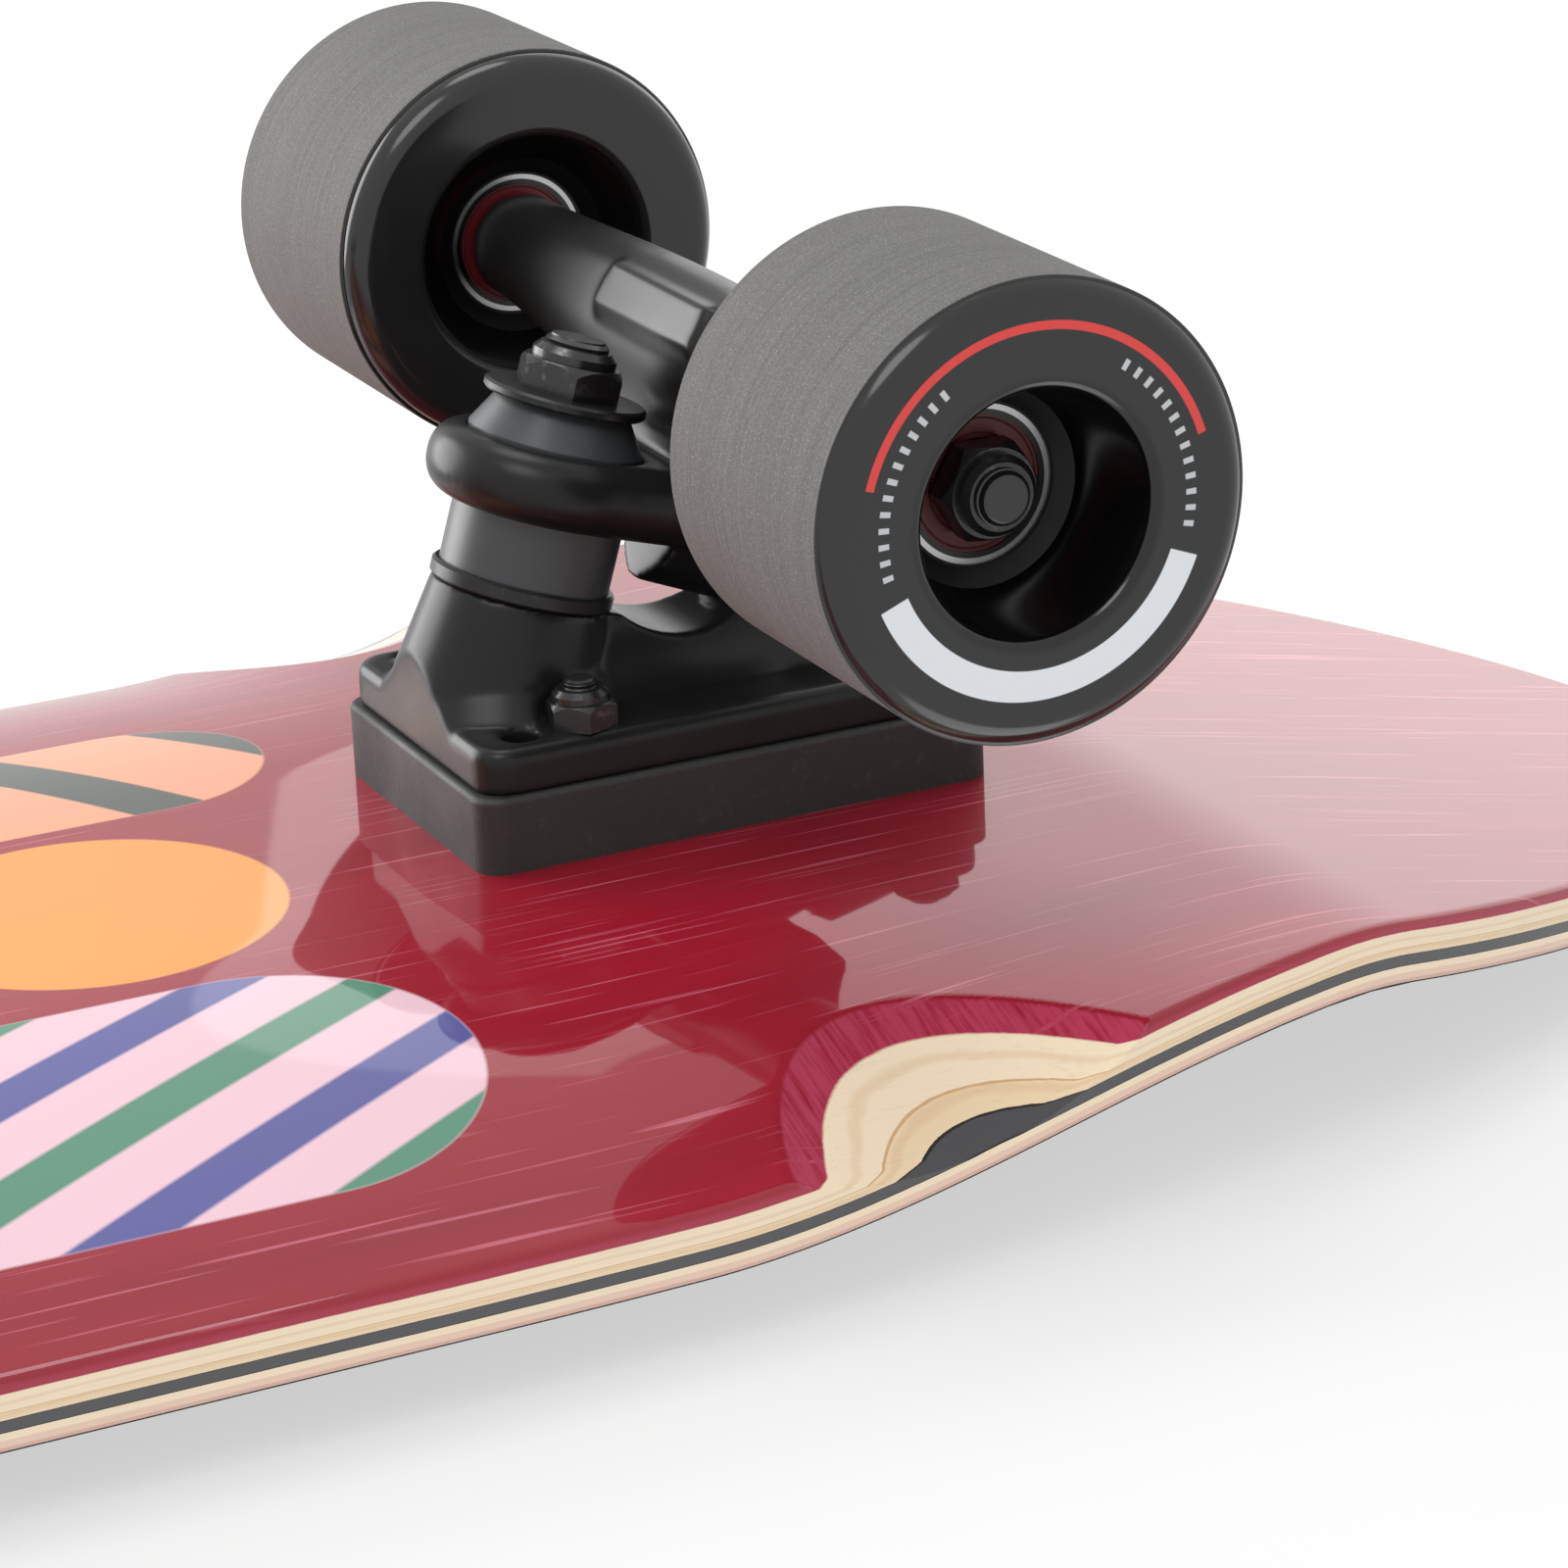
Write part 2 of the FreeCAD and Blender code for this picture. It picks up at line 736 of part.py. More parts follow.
def hanger():
    """Casting of beam, middle panel, bushing ring and pivot nose, bored for the axle."""
    ring, tie = yoke()
    body = beam().fuse([ring, tie, hanger_web(), nose_solid(0.0)])
    bare_nose = pivot_tip + pivot_axis * (nose_root - nose_overlap)
    keep_out = Part.makeCylinder(beam_reach * 2, beam_reach, bare_nose, pivot_axis * -1)
    body = body.cut(keep_out).fuse(nose_solid(0.0))
    ring_top = ring_low_s + ring_thickness
    low_seat_base = on_kingpin(ring_low_s + low_seat - beam_reach)
    high_seat_base = on_kingpin(ring_top - top_seat)
    cuts = [
        Part.makeCylinder(ring_bore, beam_reach * 2, on_kingpin(-ring_low_s), kingpin_axis),
        Part.makeCylinder(barrel_radius + seat_gap, beam_reach, low_seat_base, kingpin_axis),
        Part.makeCylinder(cone_radius + seat_gap, top_seat * 4, high_seat_base, kingpin_axis),
        Part.makeCylinder(axle_radius, axle_half * 3, V(0, -axle_half * 1.5, axle_h), V(0, 1, 0)),
    ]
    return largest_solid(body.cut(cuts).removeSplitter())


def axle():
    rod = Part.makeCylinder(axle_radius, 2 * axle_half, V(0, -axle_half, axle_h), V(0, 1, 0))
    return rod.makeChamfer(axle_chamfer, [e for e in rod.Edges if e.Closed])


def axle_ring(outer, inner, low, high):
    disc = Part.makeCylinder(outer, high - low, V(0, low, axle_h), V(0, 1, 0))
    return disc.cut(Part.makeCylinder(inner, high - low + 2, V(0, low - 1, axle_h), V(0, 1, 0)))


def other_side(shape):
    turned = shape.copy()
    turned.rotate(V(0, 0, 0), V(0, 0, 1), 180)
    return turned


def both_sides(shapes):
    return Part.makeCompound(shapes + [other_side(shape) for shape in shapes])


def axle_washers():
    inner = axle_ring(washer_radius, axle_radius, shoulder_y, bearing_in_y)
    outer = axle_ring(washer_radius, axle_radius, bearing_end_y, bearing_end_y + washer_thickness)
    return both_sides([inner, outer])


def axle_nuts():
    base = V(0, bearing_end_y + washer_thickness, axle_h)
    return both_sides([lock_nut(axle_nut_flats, axle_nut_height, axle_radius, base, V(0, 1, 0))])


def inner_races():
    rings = []
    for low in (bearing_in_y, bearing_out_y):
        rings.append(axle_ring(bearing_inner_radius, axle_radius, low, low + bearing_width))
    return both_sides(rings)


def spacers():
    low = bearing_in_y + bearing_width
    return both_sides([axle_ring(spacer_radius, axle_radius, low, low + spacer_width)])


def outer_races():
    rings = []
    for low in (bearing_in_y, bearing_out_y):
        rings.append(axle_ring(bearing_radius, bearing_race_radius, low, low + bearing_width))
    return Part.makeCompound(rings)


def shields():
    rings = []
    bore = bearing_inner_radius + shield_gap
    for low in (bearing_in_y, bearing_out_y):
        for start in (low + shield_inset, low + bearing_width - shield_inset - shield_thickness):
            rings.append(axle_ring(bearing_race_radius, bore, start, start + shield_thickness))
    return Part.makeCompound(rings)


def wheel_core():
    """Moulded hub with a bearing seat and a tapered lead-in at each end."""
    low = bearing_in_y - core_end
    high = bearing_end_y + core_end
    low_seat_y = bearing_in_y + bearing_width
    profile = [
        (low, core_radius),
        (high, core_radius),
        (high, core_radius - core_lip),
        (bearing_end_y + core_lead_start, core_lead_radius),
        (bearing_end_y + core_lead_start, bearing_radius),
        (bearing_out_y, bearing_radius),
        (bearing_out_y, core_bore),
        (low_seat_y, core_bore),
        (low_seat_y, bearing_radius),
        (bearing_in_y - core_lead_start, bearing_radius),
        (bearing_in_y - core_lead_start, core_lead_radius),
        (low, core_radius - core_lip),
    ]
    return revolve_about(profile, V(0, 0, axle_h), V(0, 1, 0))


def tread():
    """Urethane tyre: ground tread, rounded gloss lips, flat faces and deep hub recesses."""
    core_low = bearing_in_y - core_end
    core_high = bearing_end_y + core_end
    lip = wheel_radius - lip_drop
    throat = core_radius - core_lip
    bend = mouth_round * (1 - math.sqrt(0.5))

    def at(radius, y):
        return V(radius, y, 0)

    profile = chained_wire(
        at(wheel_radius, tread_in_y),
        (at(wheel_radius, tread_out_y),),
        (at(lip, tread_out_y + lip_step),),
        (at(lip - out_lip_bulge[0], wheel_out_y - out_lip_bulge[1]), at(out_face_radius, wheel_out_y)),
        (at(mouth_out_radius + mouth_round, wheel_out_y),),
        (at(mouth_out_radius + bend, wheel_out_y - bend), at(mouth_out_radius, wheel_out_y - mouth_round)),
        (at(throat, core_high),),
        (at(core_radius, core_high),),
        (at(core_radius, core_low),),
        (at(throat, core_low),),
        (at(mouth_in_radius, wheel_in_y + mouth_round),),
        (at(mouth_in_radius + bend, wheel_in_y + bend), at(mouth_in_radius + mouth_round, wheel_in_y)),
        (at(in_face_radius, wheel_in_y),),
        (at(lip - in_lip_bulge[0], wheel_in_y + in_lip_bulge[1]), at(lip, tread_in_y - lip_step)),
        (at(wheel_radius, tread_in_y),),
    )
    solid = Part.Face(profile).revolve(V(0, 0, 0), V(0, 1, 0), 360)
    solid.translate(V(0, 0, axle_h))
    return solid


def bolts():
    solids = []
    for x, y in bolt_places():
        length = bolt_end_h + deck_thickness
        shank = Part.makeCylinder(bolt_radius, length, V(x, y, -deck_thickness), V(0, 0, 1))
        rim = [e for e in shank.Edges if e.Closed and e.valueAt(0).z > 0]
        solids.append(shank.makeChamfer(0.5, rim).fuse(bolt_head(x, y)).removeSplitter())
    return Part.makeCompound(solids)


def bolt_nuts():
    solids = []
    top = riser_height + plate_thickness
    for x, y in bolt_places():
        solids.append(lock_nut(bolt_nut_flats, bolt_nut_height, bolt_radius, V(x, y, top), V(0, 0, 1), 20))
    return Part.makeCompound(solids)


def truck_pieces():
    return {
        "riser": riser(),
        "baseplate": baseplate(),
        "pivot_cup": pivot_cup(),
        "kingpin": kingpin(),
        "kingpin_nut": kingpin_nut(),
        "cup_washer": cup_washer(),
        "top_washer": top_washer(),
        "barrel_bushing": barrel_bushing(),
        "cone_bushing": cone_bushing(),
        "mounting_bolts": bolts(),
        "mounting_nuts": bolt_nuts(),
        "hanger": hanger(),
        "axle": axle(),
        "axle_washers": axle_washers(),
        "axle_nuts": axle_nuts(),
        "bearing_inner_races": inner_races(),
        "bearing_spacers": spacers(),
    }


def wheel_pieces():
    return {
        "tread": tread(),
        "core": wheel_core(),
        "bearing_outer_races": outer_races(),
        "bearing_shields": shields(),
    }


def save(name, shape):
    shape.exportStep(os.path.join("parts", name + ".step"))


def main():
    os.makedirs("parts", exist_ok=True)
    for name, layer in deck_layers().items():
        save(name, layer)
    truck = truck_pieces()
    wheel = wheel_pieces()
    for end, label in ((1, "front"), (-1, "rear")):
        for name, shape in truck.items():
            save(name + "_" + label, turn_over(shape, end))
        for turn, side in ((False, "left"), (True, "right")):
            for name, shape in wheel.items():
                piece = other_side(shape) if turn else shape
                save("wheel_" + name + "_" + label + "_" + side, turn_over(piece, end))


main()
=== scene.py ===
import json
import math

import bpy
import numpy as np
from mathutils import Matrix, Vector


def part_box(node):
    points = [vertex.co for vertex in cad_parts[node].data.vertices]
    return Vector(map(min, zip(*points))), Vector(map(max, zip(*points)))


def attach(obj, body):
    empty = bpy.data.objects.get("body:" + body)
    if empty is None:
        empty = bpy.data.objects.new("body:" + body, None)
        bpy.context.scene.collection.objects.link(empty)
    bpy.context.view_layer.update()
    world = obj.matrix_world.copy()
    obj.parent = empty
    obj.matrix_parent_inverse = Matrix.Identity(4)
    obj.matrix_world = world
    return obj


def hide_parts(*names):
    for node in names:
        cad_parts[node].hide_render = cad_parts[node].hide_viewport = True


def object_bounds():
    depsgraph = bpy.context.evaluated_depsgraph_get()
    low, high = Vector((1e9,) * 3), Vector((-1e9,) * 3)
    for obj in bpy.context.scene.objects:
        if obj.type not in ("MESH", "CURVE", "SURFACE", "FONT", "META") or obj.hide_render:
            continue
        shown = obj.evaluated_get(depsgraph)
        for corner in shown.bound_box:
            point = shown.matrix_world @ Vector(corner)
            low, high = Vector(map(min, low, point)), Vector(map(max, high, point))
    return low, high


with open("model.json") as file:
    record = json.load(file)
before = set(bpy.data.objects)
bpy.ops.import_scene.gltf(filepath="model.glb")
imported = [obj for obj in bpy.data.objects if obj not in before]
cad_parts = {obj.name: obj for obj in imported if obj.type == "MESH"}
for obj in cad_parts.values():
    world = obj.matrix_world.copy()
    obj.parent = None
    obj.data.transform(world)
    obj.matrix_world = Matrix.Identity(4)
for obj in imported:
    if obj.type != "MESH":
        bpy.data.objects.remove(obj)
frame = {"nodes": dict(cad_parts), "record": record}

cad_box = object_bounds()
joint = {item["name"]: item for item in frame["record"]["behaviour"]["joints"]}

# Laminated deck: eight rotary-cut maple veneers glued and pressed in a concave mould, routed to
# outline, its lower edge rounded, wheel wells sanded through to the charcoal ply on a drum.
axle_x = joint["spin_front_left"]["pos_m"][0]
axle_z = joint["spin_front_left"]["pos_m"][2]
deck_low, deck_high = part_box("ply_1_stained_veneer")
deck_z = deck_low[2]
half_length = deck_high[0]
half_width = deck_high[1]
rail_mid = 0.0134
rail_kick = 0.0006
spine_half = 0.031
fade_from = -0.058
kick_start = 0.043
kick_radius = 0.075
kick_slope = 0.2
taper_start = 0.100
taper_power = 2.95
nose_power = 0.585
edge_round = 0.0021
drum_radius = 0.070
drum_reach = 0.9
well_back = 0.025
well_inner_y = 0.0900
well_rise = 0.37
ply_stack = (
    ("stain", 0.0011), ("maple", 0.0012), ("maple", 0.0012), ("tan", 0.0011),
    ("charcoal", 0.0017), ("maple", 0.0010), ("rose", 0.0009), ("top", 0.0005),
)
laminate = sum(thick for colour, thick in ply_stack)
deck_crease = math.radians(40)


def smooth_step(t):
    t = np.clip(t, 0.0, 1.0)
    return t * t * (3 - 2 * t)


def deck_underside(x, y):
    """Height of the pressed underside before the wells are sanded."""
    reach = np.abs(x) - axle_x
    fade = smooth_step((reach - fade_from) / (kick_start - fade_from))
    rails = rail_mid + (rail_kick - rail_mid) * fade
    across = np.maximum(np.abs(y) - spine_half, 0) / (half_width - spine_half)
    run = np.maximum(reach - kick_start, 0)
    bend = kick_radius * kick_slope
    kick = np.where(run < bend, run * run / (2 * kick_radius),
                    bend * bend / (2 * kick_radius) + kick_slope * (run - bend))
    return deck_z + kick + rails * across * across


def deck_half_width(x):
    """Half width of the routed outline at a place along the board."""
    span = half_length - axle_x + taper_start
    t = np.clip((np.abs(x) - axle_x + taper_start) / span, 0, 1)
    return half_width * (1 - t ** taper_power) ** nose_power


def well_floor(x, y):
    """Height of the sanding drum's upper side, or a metre down where the drum isn't."""
    slope = math.atan(well_rise)
    offset = np.abs(x) - (axle_x - well_back)
    start = deck_underside(np.full_like(x, axle_x - well_back), np.full_like(y, well_inner_y))
    inside = np.abs(offset) < drum_radius * drum_reach
    drop = drum_radius - np.sqrt(np.maximum(drum_radius ** 2 - offset ** 2, 1e-9))
    height = start + (np.abs(y) - well_inner_y) * well_rise - drop / math.cos(slope)
    return np.where(inside, height, -1.0)


def lengthwise_stations():
    """Stations along the board: close at the wells and tips, wider between them."""
    fine_back, fine_ahead, fine_step, coarse_step = 0.084, 0.024, 0.0007, 0.004
    tip = half_length - axle_x + taper_start
    last_angle, tip_stations = 0.012, 90
    coarse = np.arange(0, axle_x - fine_back, coarse_step)
    fine = np.arange(axle_x - fine_back, axle_x + fine_ahead, fine_step)
    first_angle = math.acos((fine_ahead + taper_start) / tip)
    reach = np.cos(np.linspace(first_angle, last_angle, tip_stations))
    beyond = axle_x - taper_start + tip * reach
    side = np.concatenate([coarse, fine, beyond])
    side = np.unique(np.round(side, 6))
    return np.concatenate([-side[:0:-1], side])


def crosswise_places(x, insets):
    """Signed distances across at one station, spaced by their distance from the edge."""
    width = deck_half_width(x)
    step = 1e-5
    steep = -50.0
    if abs(x) + step < half_length:
        steep = (deck_half_width(abs(x) + step) - width) / step
    lean = math.sqrt(1 + float(steep) ** 2)
    share = np.linspace(0, 1, len(insets))
    inward = np.minimum(insets * lean, width * share)
    inward[-1] = width
    half = width - inward
    return np.concatenate([-half, half[-2::-1]]), np.concatenate([inward, inward[-2::-1]]) / lean


def grid_faces(rows, columns, base, flip):
    """Quads of a rows by columns grid of vertices that starts at a base index."""
    index = np.arange(rows * columns).reshape(rows, columns) + base
    corners = [index[:-1, :-1], index[1:, :-1], index[1:, 1:], index[:-1, 1:]]
    quads = np.stack(corners, axis=-1).reshape(-1, 4)
    return quads[:, ::-1] if flip else quads


def rim_faces(rows, columns, low, high):
    """Band of quads that closes the edge between two stacked grids."""
    a = np.arange(rows * columns).reshape(rows, columns)
    loop = np.concatenate([a[:, 0], a[-1, 1:], a[-2::-1, -1], a[0, -2:0:-1]])
    following = np.roll(loop, -1)
    return np.stack([loop + low, loop + high, following + high, following + low], axis=-1)


def mesh_piece(name, points, faces, material, layers=None):
    """Make an object from points and faces, with named values on its points."""
    mesh = bpy.data.meshes.new(name)
    mesh.from_pydata([tuple(p) for p in points], [], [tuple(int(i) for i in f) for f in faces])
    mesh.validate()
    for key, values in (layers or {}).items():
        layer = mesh.attributes.new(key, "FLOAT", "POINT")
        layer.data.foreach_set("value", np.asarray(values, dtype=np.float32))
    mesh.materials.append(material)
    piece = bpy.data.objects.new(name, mesh)
    bpy.context.scene.collection.objects.link(piece)
    mesh.shade_smooth()
    return piece


class Shading:
    """Short way to place and wire the nodes of one material or node group."""

    def __init__(self, tree):
        self.tree = tree

    def node(self, kind, **inputs):
        made = self.tree.nodes.new(kind)
        for key, value in inputs.items():
            self.feed(made.inputs[key.replace("_", " ")], value)
        return made

    def feed(self, socket, value):
        if isinstance(value, bpy.types.NodeSocket):
            self.tree.links.new(value, socket)
        else:
            socket.default_value = value

    def math(self, operation, a, b=0.0, c=0.0):
        made = self.tree.nodes.new("ShaderNodeMath")
        made.operation = operation
        for socket, value in zip(made.inputs, (a, b, c)):
            self.feed(socket, value)
        return made.outputs[0]

    def mix(self, factor, a, b):
        made = self.tree.nodes.new("ShaderNodeMix")
        made.data_type = "RGBA"
        self.feed(made.inputs[0], factor)
        self.feed(made.inputs[6], a)
        self.feed(made.inputs[7], b)
        return made.outputs[2]

    def ramp(self, value, stops, constant=False):
        made = self.tree.nodes.new("ShaderNodeValToRGB")
        ramp = made.color_ramp
        ramp.interpolation = "CONSTANT" if constant else "LINEAR"
        while len(ramp.elements) < len(stops):
            ramp.elements.new(1.0)
        for element, (place, colour) in zip(ramp.elements, stops):
            element.position = place
            element.color = (*colour[:3], 1.0)
        self.feed(made.inputs[0], value)
        return made.outputs[0]

    def places(self, scale=(1, 1, 1)):
        coordinate = self.tree.nodes.new("ShaderNodeTexCoord").outputs["Object"]
        mapping = self.tree.nodes.new("ShaderNodeMapping")
        mapping.inputs["Scale"].default_value = scale
        self.tree.links.new(coordinate, mapping.inputs["Vector"])
        return mapping.outputs[0]

    def noise(self, places, scale, detail=3.0, rough=0.5):
        made = self.node(
            "ShaderNodeTexNoise", Vector=places, Scale=scale, Detail=detail, Roughness=rough
        )
        return made.outputs[0]

    def length(self, a, b):
        """Length of the diagonal over two sides at a right angle."""
        squares = self.math("ADD", self.math("MULTIPLY", a, a), self.math("MULTIPLY", b, b))
        return self.math("SQRT", squares)

    def band(self, value, low, high, soft):
        """One between two values, with soft edges."""
        rise = self.math("MULTIPLY_ADD", self.math("SUBTRACT", value, low), 1 / soft, 0.5)
        fall = self.math("MULTIPLY_ADD", self.math("SUBTRACT", high, value), 1 / soft, 0.5)
        both = self.math("MINIMUM", rise, fall)
        both.node.use_clamp = True
        return both

    def bump(self, height, strength, distance):
        made = self.node("ShaderNodeBump", Height=height, Strength=strength, Distance=distance)
        return made.outputs[0]


def new_material(name, **fixed):
    """A material with one Principled shader, its unchanging values on its own sockets."""
    material = bpy.data.materials.new(name)
    material.use_nodes = True
    shader = material.node_tree.nodes["Principled BSDF"]
    for key, value in fixed.items():
        shader.inputs[key.replace("_", " ")].default_value = value
    return material, Shading(material.node_tree), shader


# Wood grain of the veneers: long pores and broad cloudy figure along the board.
grain = bpy.data.node_groups.new("veneer grain", "ShaderNodeTree")
grain.interface.new_socket("Places", in_out="INPUT", socket_type="NodeSocketVector")
grain.interface.new_socket("Pores", in_out="OUTPUT", socket_type="NodeSocketFloat")
grain.interface.new_socket("Figure", in_out="OUTPUT", socket_type="NodeSocketFloat")
grain_in = grain.nodes.new("NodeGroupInput")
grain_out = grain.nodes.new("NodeGroupOutput")
lines = Shading(grain)
stretch = lines.node("ShaderNodeMapping", Vector=grain_in.outputs[0])
stretch.inputs["Scale"].default_value = (24, 1000, 30)
pore_noise = lines.noise(stretch.outputs[0], 1.0, 1.0, 0.5)
broad = lines.node("ShaderNodeMapping", Vector=grain_in.outputs[0])
broad.inputs["Scale"].default_value = (5, 60, 10)
grain.links.new(lines.ramp(pore_noise, ((0.635, (0, 0, 0)), (0.74, (1, 1, 1)))), grain_out.inputs[0])
grain.links.new(lines.noise(broad.outputs[0], 1.0, 4.0, 0.6), grain_out.inputs[1])

stain_deep = (0.215, 0.0035, 0.0125, 1)
stain_light = (0.40, 0.0085, 0.029, 1)
# Pale red of the sanding drum's stain smear, also used for the painted highlight on the rounded lower edge.
smear_and_edge_highlight_pink = (0.46, 0.045, 0.095, 1)
pore_pink = (0.80, 0.24, 0.33, 1)
ply_colour = {
    "maple": (0.96, 0.79, 0.58), "tan": (0.90, 0.70, 0.47), "charcoal": (0.085, 0.085, 0.090),
    "rose": (0.86, 0.62, 0.48), "top": (0.70, 0.46, 0.38), "stain": (0.96, 0.79, 0.58),
}
glue = (0.030, 0.026, 0.026)
stain_reach = 0.0013
deck_finish, deck_nodes, deck_shader = new_material(
    "clear-coated maple laminate", Coat_Weight=0.9, Coat_Roughness=0.035, Coat_IOR=1.5, Roughness=0.5,
    Specular_IOR_Level=0.08
)
deck_places = deck_nodes.places()
veneer = deck_nodes.node("ShaderNodeGroup")
veneer.node_tree = grain
deck_nodes.feed(veneer.inputs[0], deck_places)
stain = deck_nodes.mix(veneer.outputs[1], stain_deep, stain_light)
stain = deck_nodes.mix(deck_nodes.math("MULTIPLY", veneer.outputs[0], 0.42), stain, pore_pink)
axis = deck_nodes.node("ShaderNodeSeparateXYZ", Vector=deck_places)
along, across = axis.outputs[0], axis.outputs[1]


# Print on the stained veneer: two plain bars with straight stripes and two plain discs, in opaque
# inks under the clear coat.
print_pink = (0.84, 0.56, 0.64, 1)
print_green = (0.09, 0.26, 0.17, 1)
print_blue = (0.10, 0.10, 0.32, 1)
print_orange = (0.90, 0.33, 0.045, 1)
print_peach = (0.86, 0.36, 0.20, 1)
print_grey = (0.050, 0.060, 0.048, 1)
print_edge = 0.0006
pink_run, pink_y, pink_half = (-0.150, 0.205), 0.072, 0.029
pink_lean, pink_pitch, pink_share = math.radians(62), 0.034, 0.24
peach_run, peach_y, peach_half = (-0.185, 0.218), -0.046, 0.021
peach_lean, peach_pitch, peach_share = math.radians(-28), 0.030, 0.36
disc_places, disc_y, disc_radius = (0.172, -0.140), 0.009, 0.029


def disc_mask(nodes, centre_x, centre_y, radius):
    """Round spot on the underside."""
    dx = nodes.math("SUBTRACT", along, centre_x)
    dy = nodes.math("SUBTRACT", across, centre_y)
    return nodes.band(nodes.length(dx, dy), -1.0, radius, print_edge)


def bar_mask(nodes, run, centre_y, half):
    """Bar along the board with half-round ends."""
    start_x, end_x = run
    beyond = nodes.math("MAXIMUM", nodes.math("SUBTRACT", along, end_x - half),
                        nodes.math("SUBTRACT", start_x + half, along))
    beyond = nodes.math("MAXIMUM", beyond, 0.0)
    dy = nodes.math("SUBTRACT", across, centre_y)
    return nodes.band(nodes.length(beyond, dy), -1.0, half, print_edge)


def stripe_mask(nodes, angle, pitch, share, offset=0.0):
    """Straight stripes at an angle to the board, each covering a share of its pitch."""
    turned = nodes.math(
        "ADD", nodes.math("MULTIPLY", along, math.cos(angle)), nodes.math("MULTIPLY", across, math.sin(angle))
    )
    phase = nodes.math("FRACT", nodes.math("MULTIPLY_ADD", turned, 1 / pitch, offset))
    return nodes.band(phase, 0.02, share, 0.02)


def overlap(nodes, *masks):
    """What all of the masks cover."""
    result = masks[0]
    for mask in masks[1:]:
        result = nodes.math("MULTIPLY", result, mask)
    return result


pink_bar = bar_mask(deck_nodes, pink_run, pink_y, pink_half)
green_stripes = stripe_mask(deck_nodes, pink_lean, pink_pitch, pink_share)
green_rows = overlap(deck_nodes, pink_bar, green_stripes)
blue_stripes = stripe_mask(deck_nodes, pink_lean, pink_pitch, pink_share, 0.5)
blue_rows = overlap(deck_nodes, pink_bar, blue_stripes)
peach_bar = bar_mask(deck_nodes, peach_run, peach_y, peach_half)
grey_stripes = stripe_mask(deck_nodes, peach_lean, peach_pitch, peach_share)
grey_rows = overlap(deck_nodes, peach_bar, grey_stripes)
first_disc, second_disc = (disc_mask(deck_nodes, x, disc_y, disc_radius) for x in disc_places)
printed = deck_nodes.mix(pink_bar, stain, print_pink)
printed = deck_nodes.mix(green_rows, printed, print_green)
printed = deck_nodes.mix(blue_rows, printed, print_blue)
printed = deck_nodes.mix(peach_bar, printed, print_peach)
printed = deck_nodes.mix(grey_rows, printed, print_grey)
printed = deck_nodes.mix(
    deck_nodes.math("MAXIMUM", first_disc, second_disc), printed, print_orange
)

# Plies as the edge and the wells show them: thin dark glue lines, growth rings, end pores, and
# the red stain smeared over the first layer by the sanding drum.
glue_line = 0.00012
tan_line = 0.00010
tan_glue = (0.70, 0.43, 0.22)
ring_brown = (0.74, 0.46, 0.24, 1)
pore_brown = (0.20, 0.15, 0.10, 1)
fuzz_height = 0.00007
ripple_height = 0.00022
mean_waver = 0.00014
rings_per_metre = 640.0
ring_wander = 1.4
depth = deck_nodes.node("ShaderNodeAttribute")
depth.attribute_name = "ply_depth"
drummed = deck_nodes.node("ShaderNodeAttribute")
drummed.attribute_name = "drum_cut"
ripple = deck_nodes.noise(deck_nodes.places((26, 60, 60)), 1.0, 2.0)
fuzz = deck_nodes.noise(deck_nodes.places((240, 1500, 1500)), 1.0, 2.0)
waver = deck_nodes.math(
    "MULTIPLY_ADD", fuzz, fuzz_height, deck_nodes.math("MULTIPLY", ripple, ripple_height)
)
depth_value = deck_nodes.math(
    "ADD", waver, deck_nodes.math("SUBTRACT", depth.outputs["Fac"], mean_waver)
)
stops = []
level = 0.0
for colour, thick in ply_stack:
    tint = ply_colour[colour]
    if colour == "charcoal":
        stops += [(level / laminate, glue), ((level + glue_line) / laminate, tint)]
        stops.append(((level + thick - glue_line) / laminate, glue))
    elif colour == "tan":
        stops += [(level / laminate, tan_glue), ((level + tan_line) / laminate, tint)]
    else:
        stops.append((level / laminate, tint))
    level += thick
plies = deck_nodes.ramp(deck_nodes.math("MULTIPLY", depth_value, 1 / laminate), stops, constant=True)
ring_phase = deck_nodes.math(
    "MULTIPLY_ADD", ripple, ring_wander, deck_nodes.math("MULTIPLY", depth_value, rings_per_metre)
)
ring_wave = deck_nodes.math("SINE", deck_nodes.math("MULTIPLY", ring_phase, 2 * math.pi))
ring_lines = deck_nodes.node("ShaderNodeMapRange", Value=ring_wave)
ring_lines.inputs["From Min"].default_value = 0.35
ring_lines.inputs["From Max"].default_value = 1.0
ring_lines.inputs["To Max"].default_value = 0.34
light_plies = sum(thick for colour, thick in ply_stack[:4])
in_wood = deck_nodes.band(depth_value, 0.0, light_plies, 0.0002)
plies = deck_nodes.mix(
    deck_nodes.math("MULTIPLY", ring_lines.outputs[0], in_wood), plies, ring_brown
)
end_pores = deck_nodes.noise(deck_nodes.places((90, 700, 3000)), 1.0, 2.0, 0.6)
pore_marks = deck_nodes.math("MULTIPLY", deck_nodes.band(end_pores, 0.62, 2.0, 0.10), 0.07)
plies = deck_nodes.mix(pore_marks, plies, pore_brown)
in_stain = deck_nodes.band(depth_value, -1.0, stain_reach, 0.00012)
brushed = deck_nodes.noise(deck_nodes.places((1500, 90, 90)), 1.0, 3.0, 0.6)
cut_red = deck_nodes.mix(deck_nodes.band(brushed, 0.42, 2.0, 0.30), stain, smear_and_edge_highlight_pink)
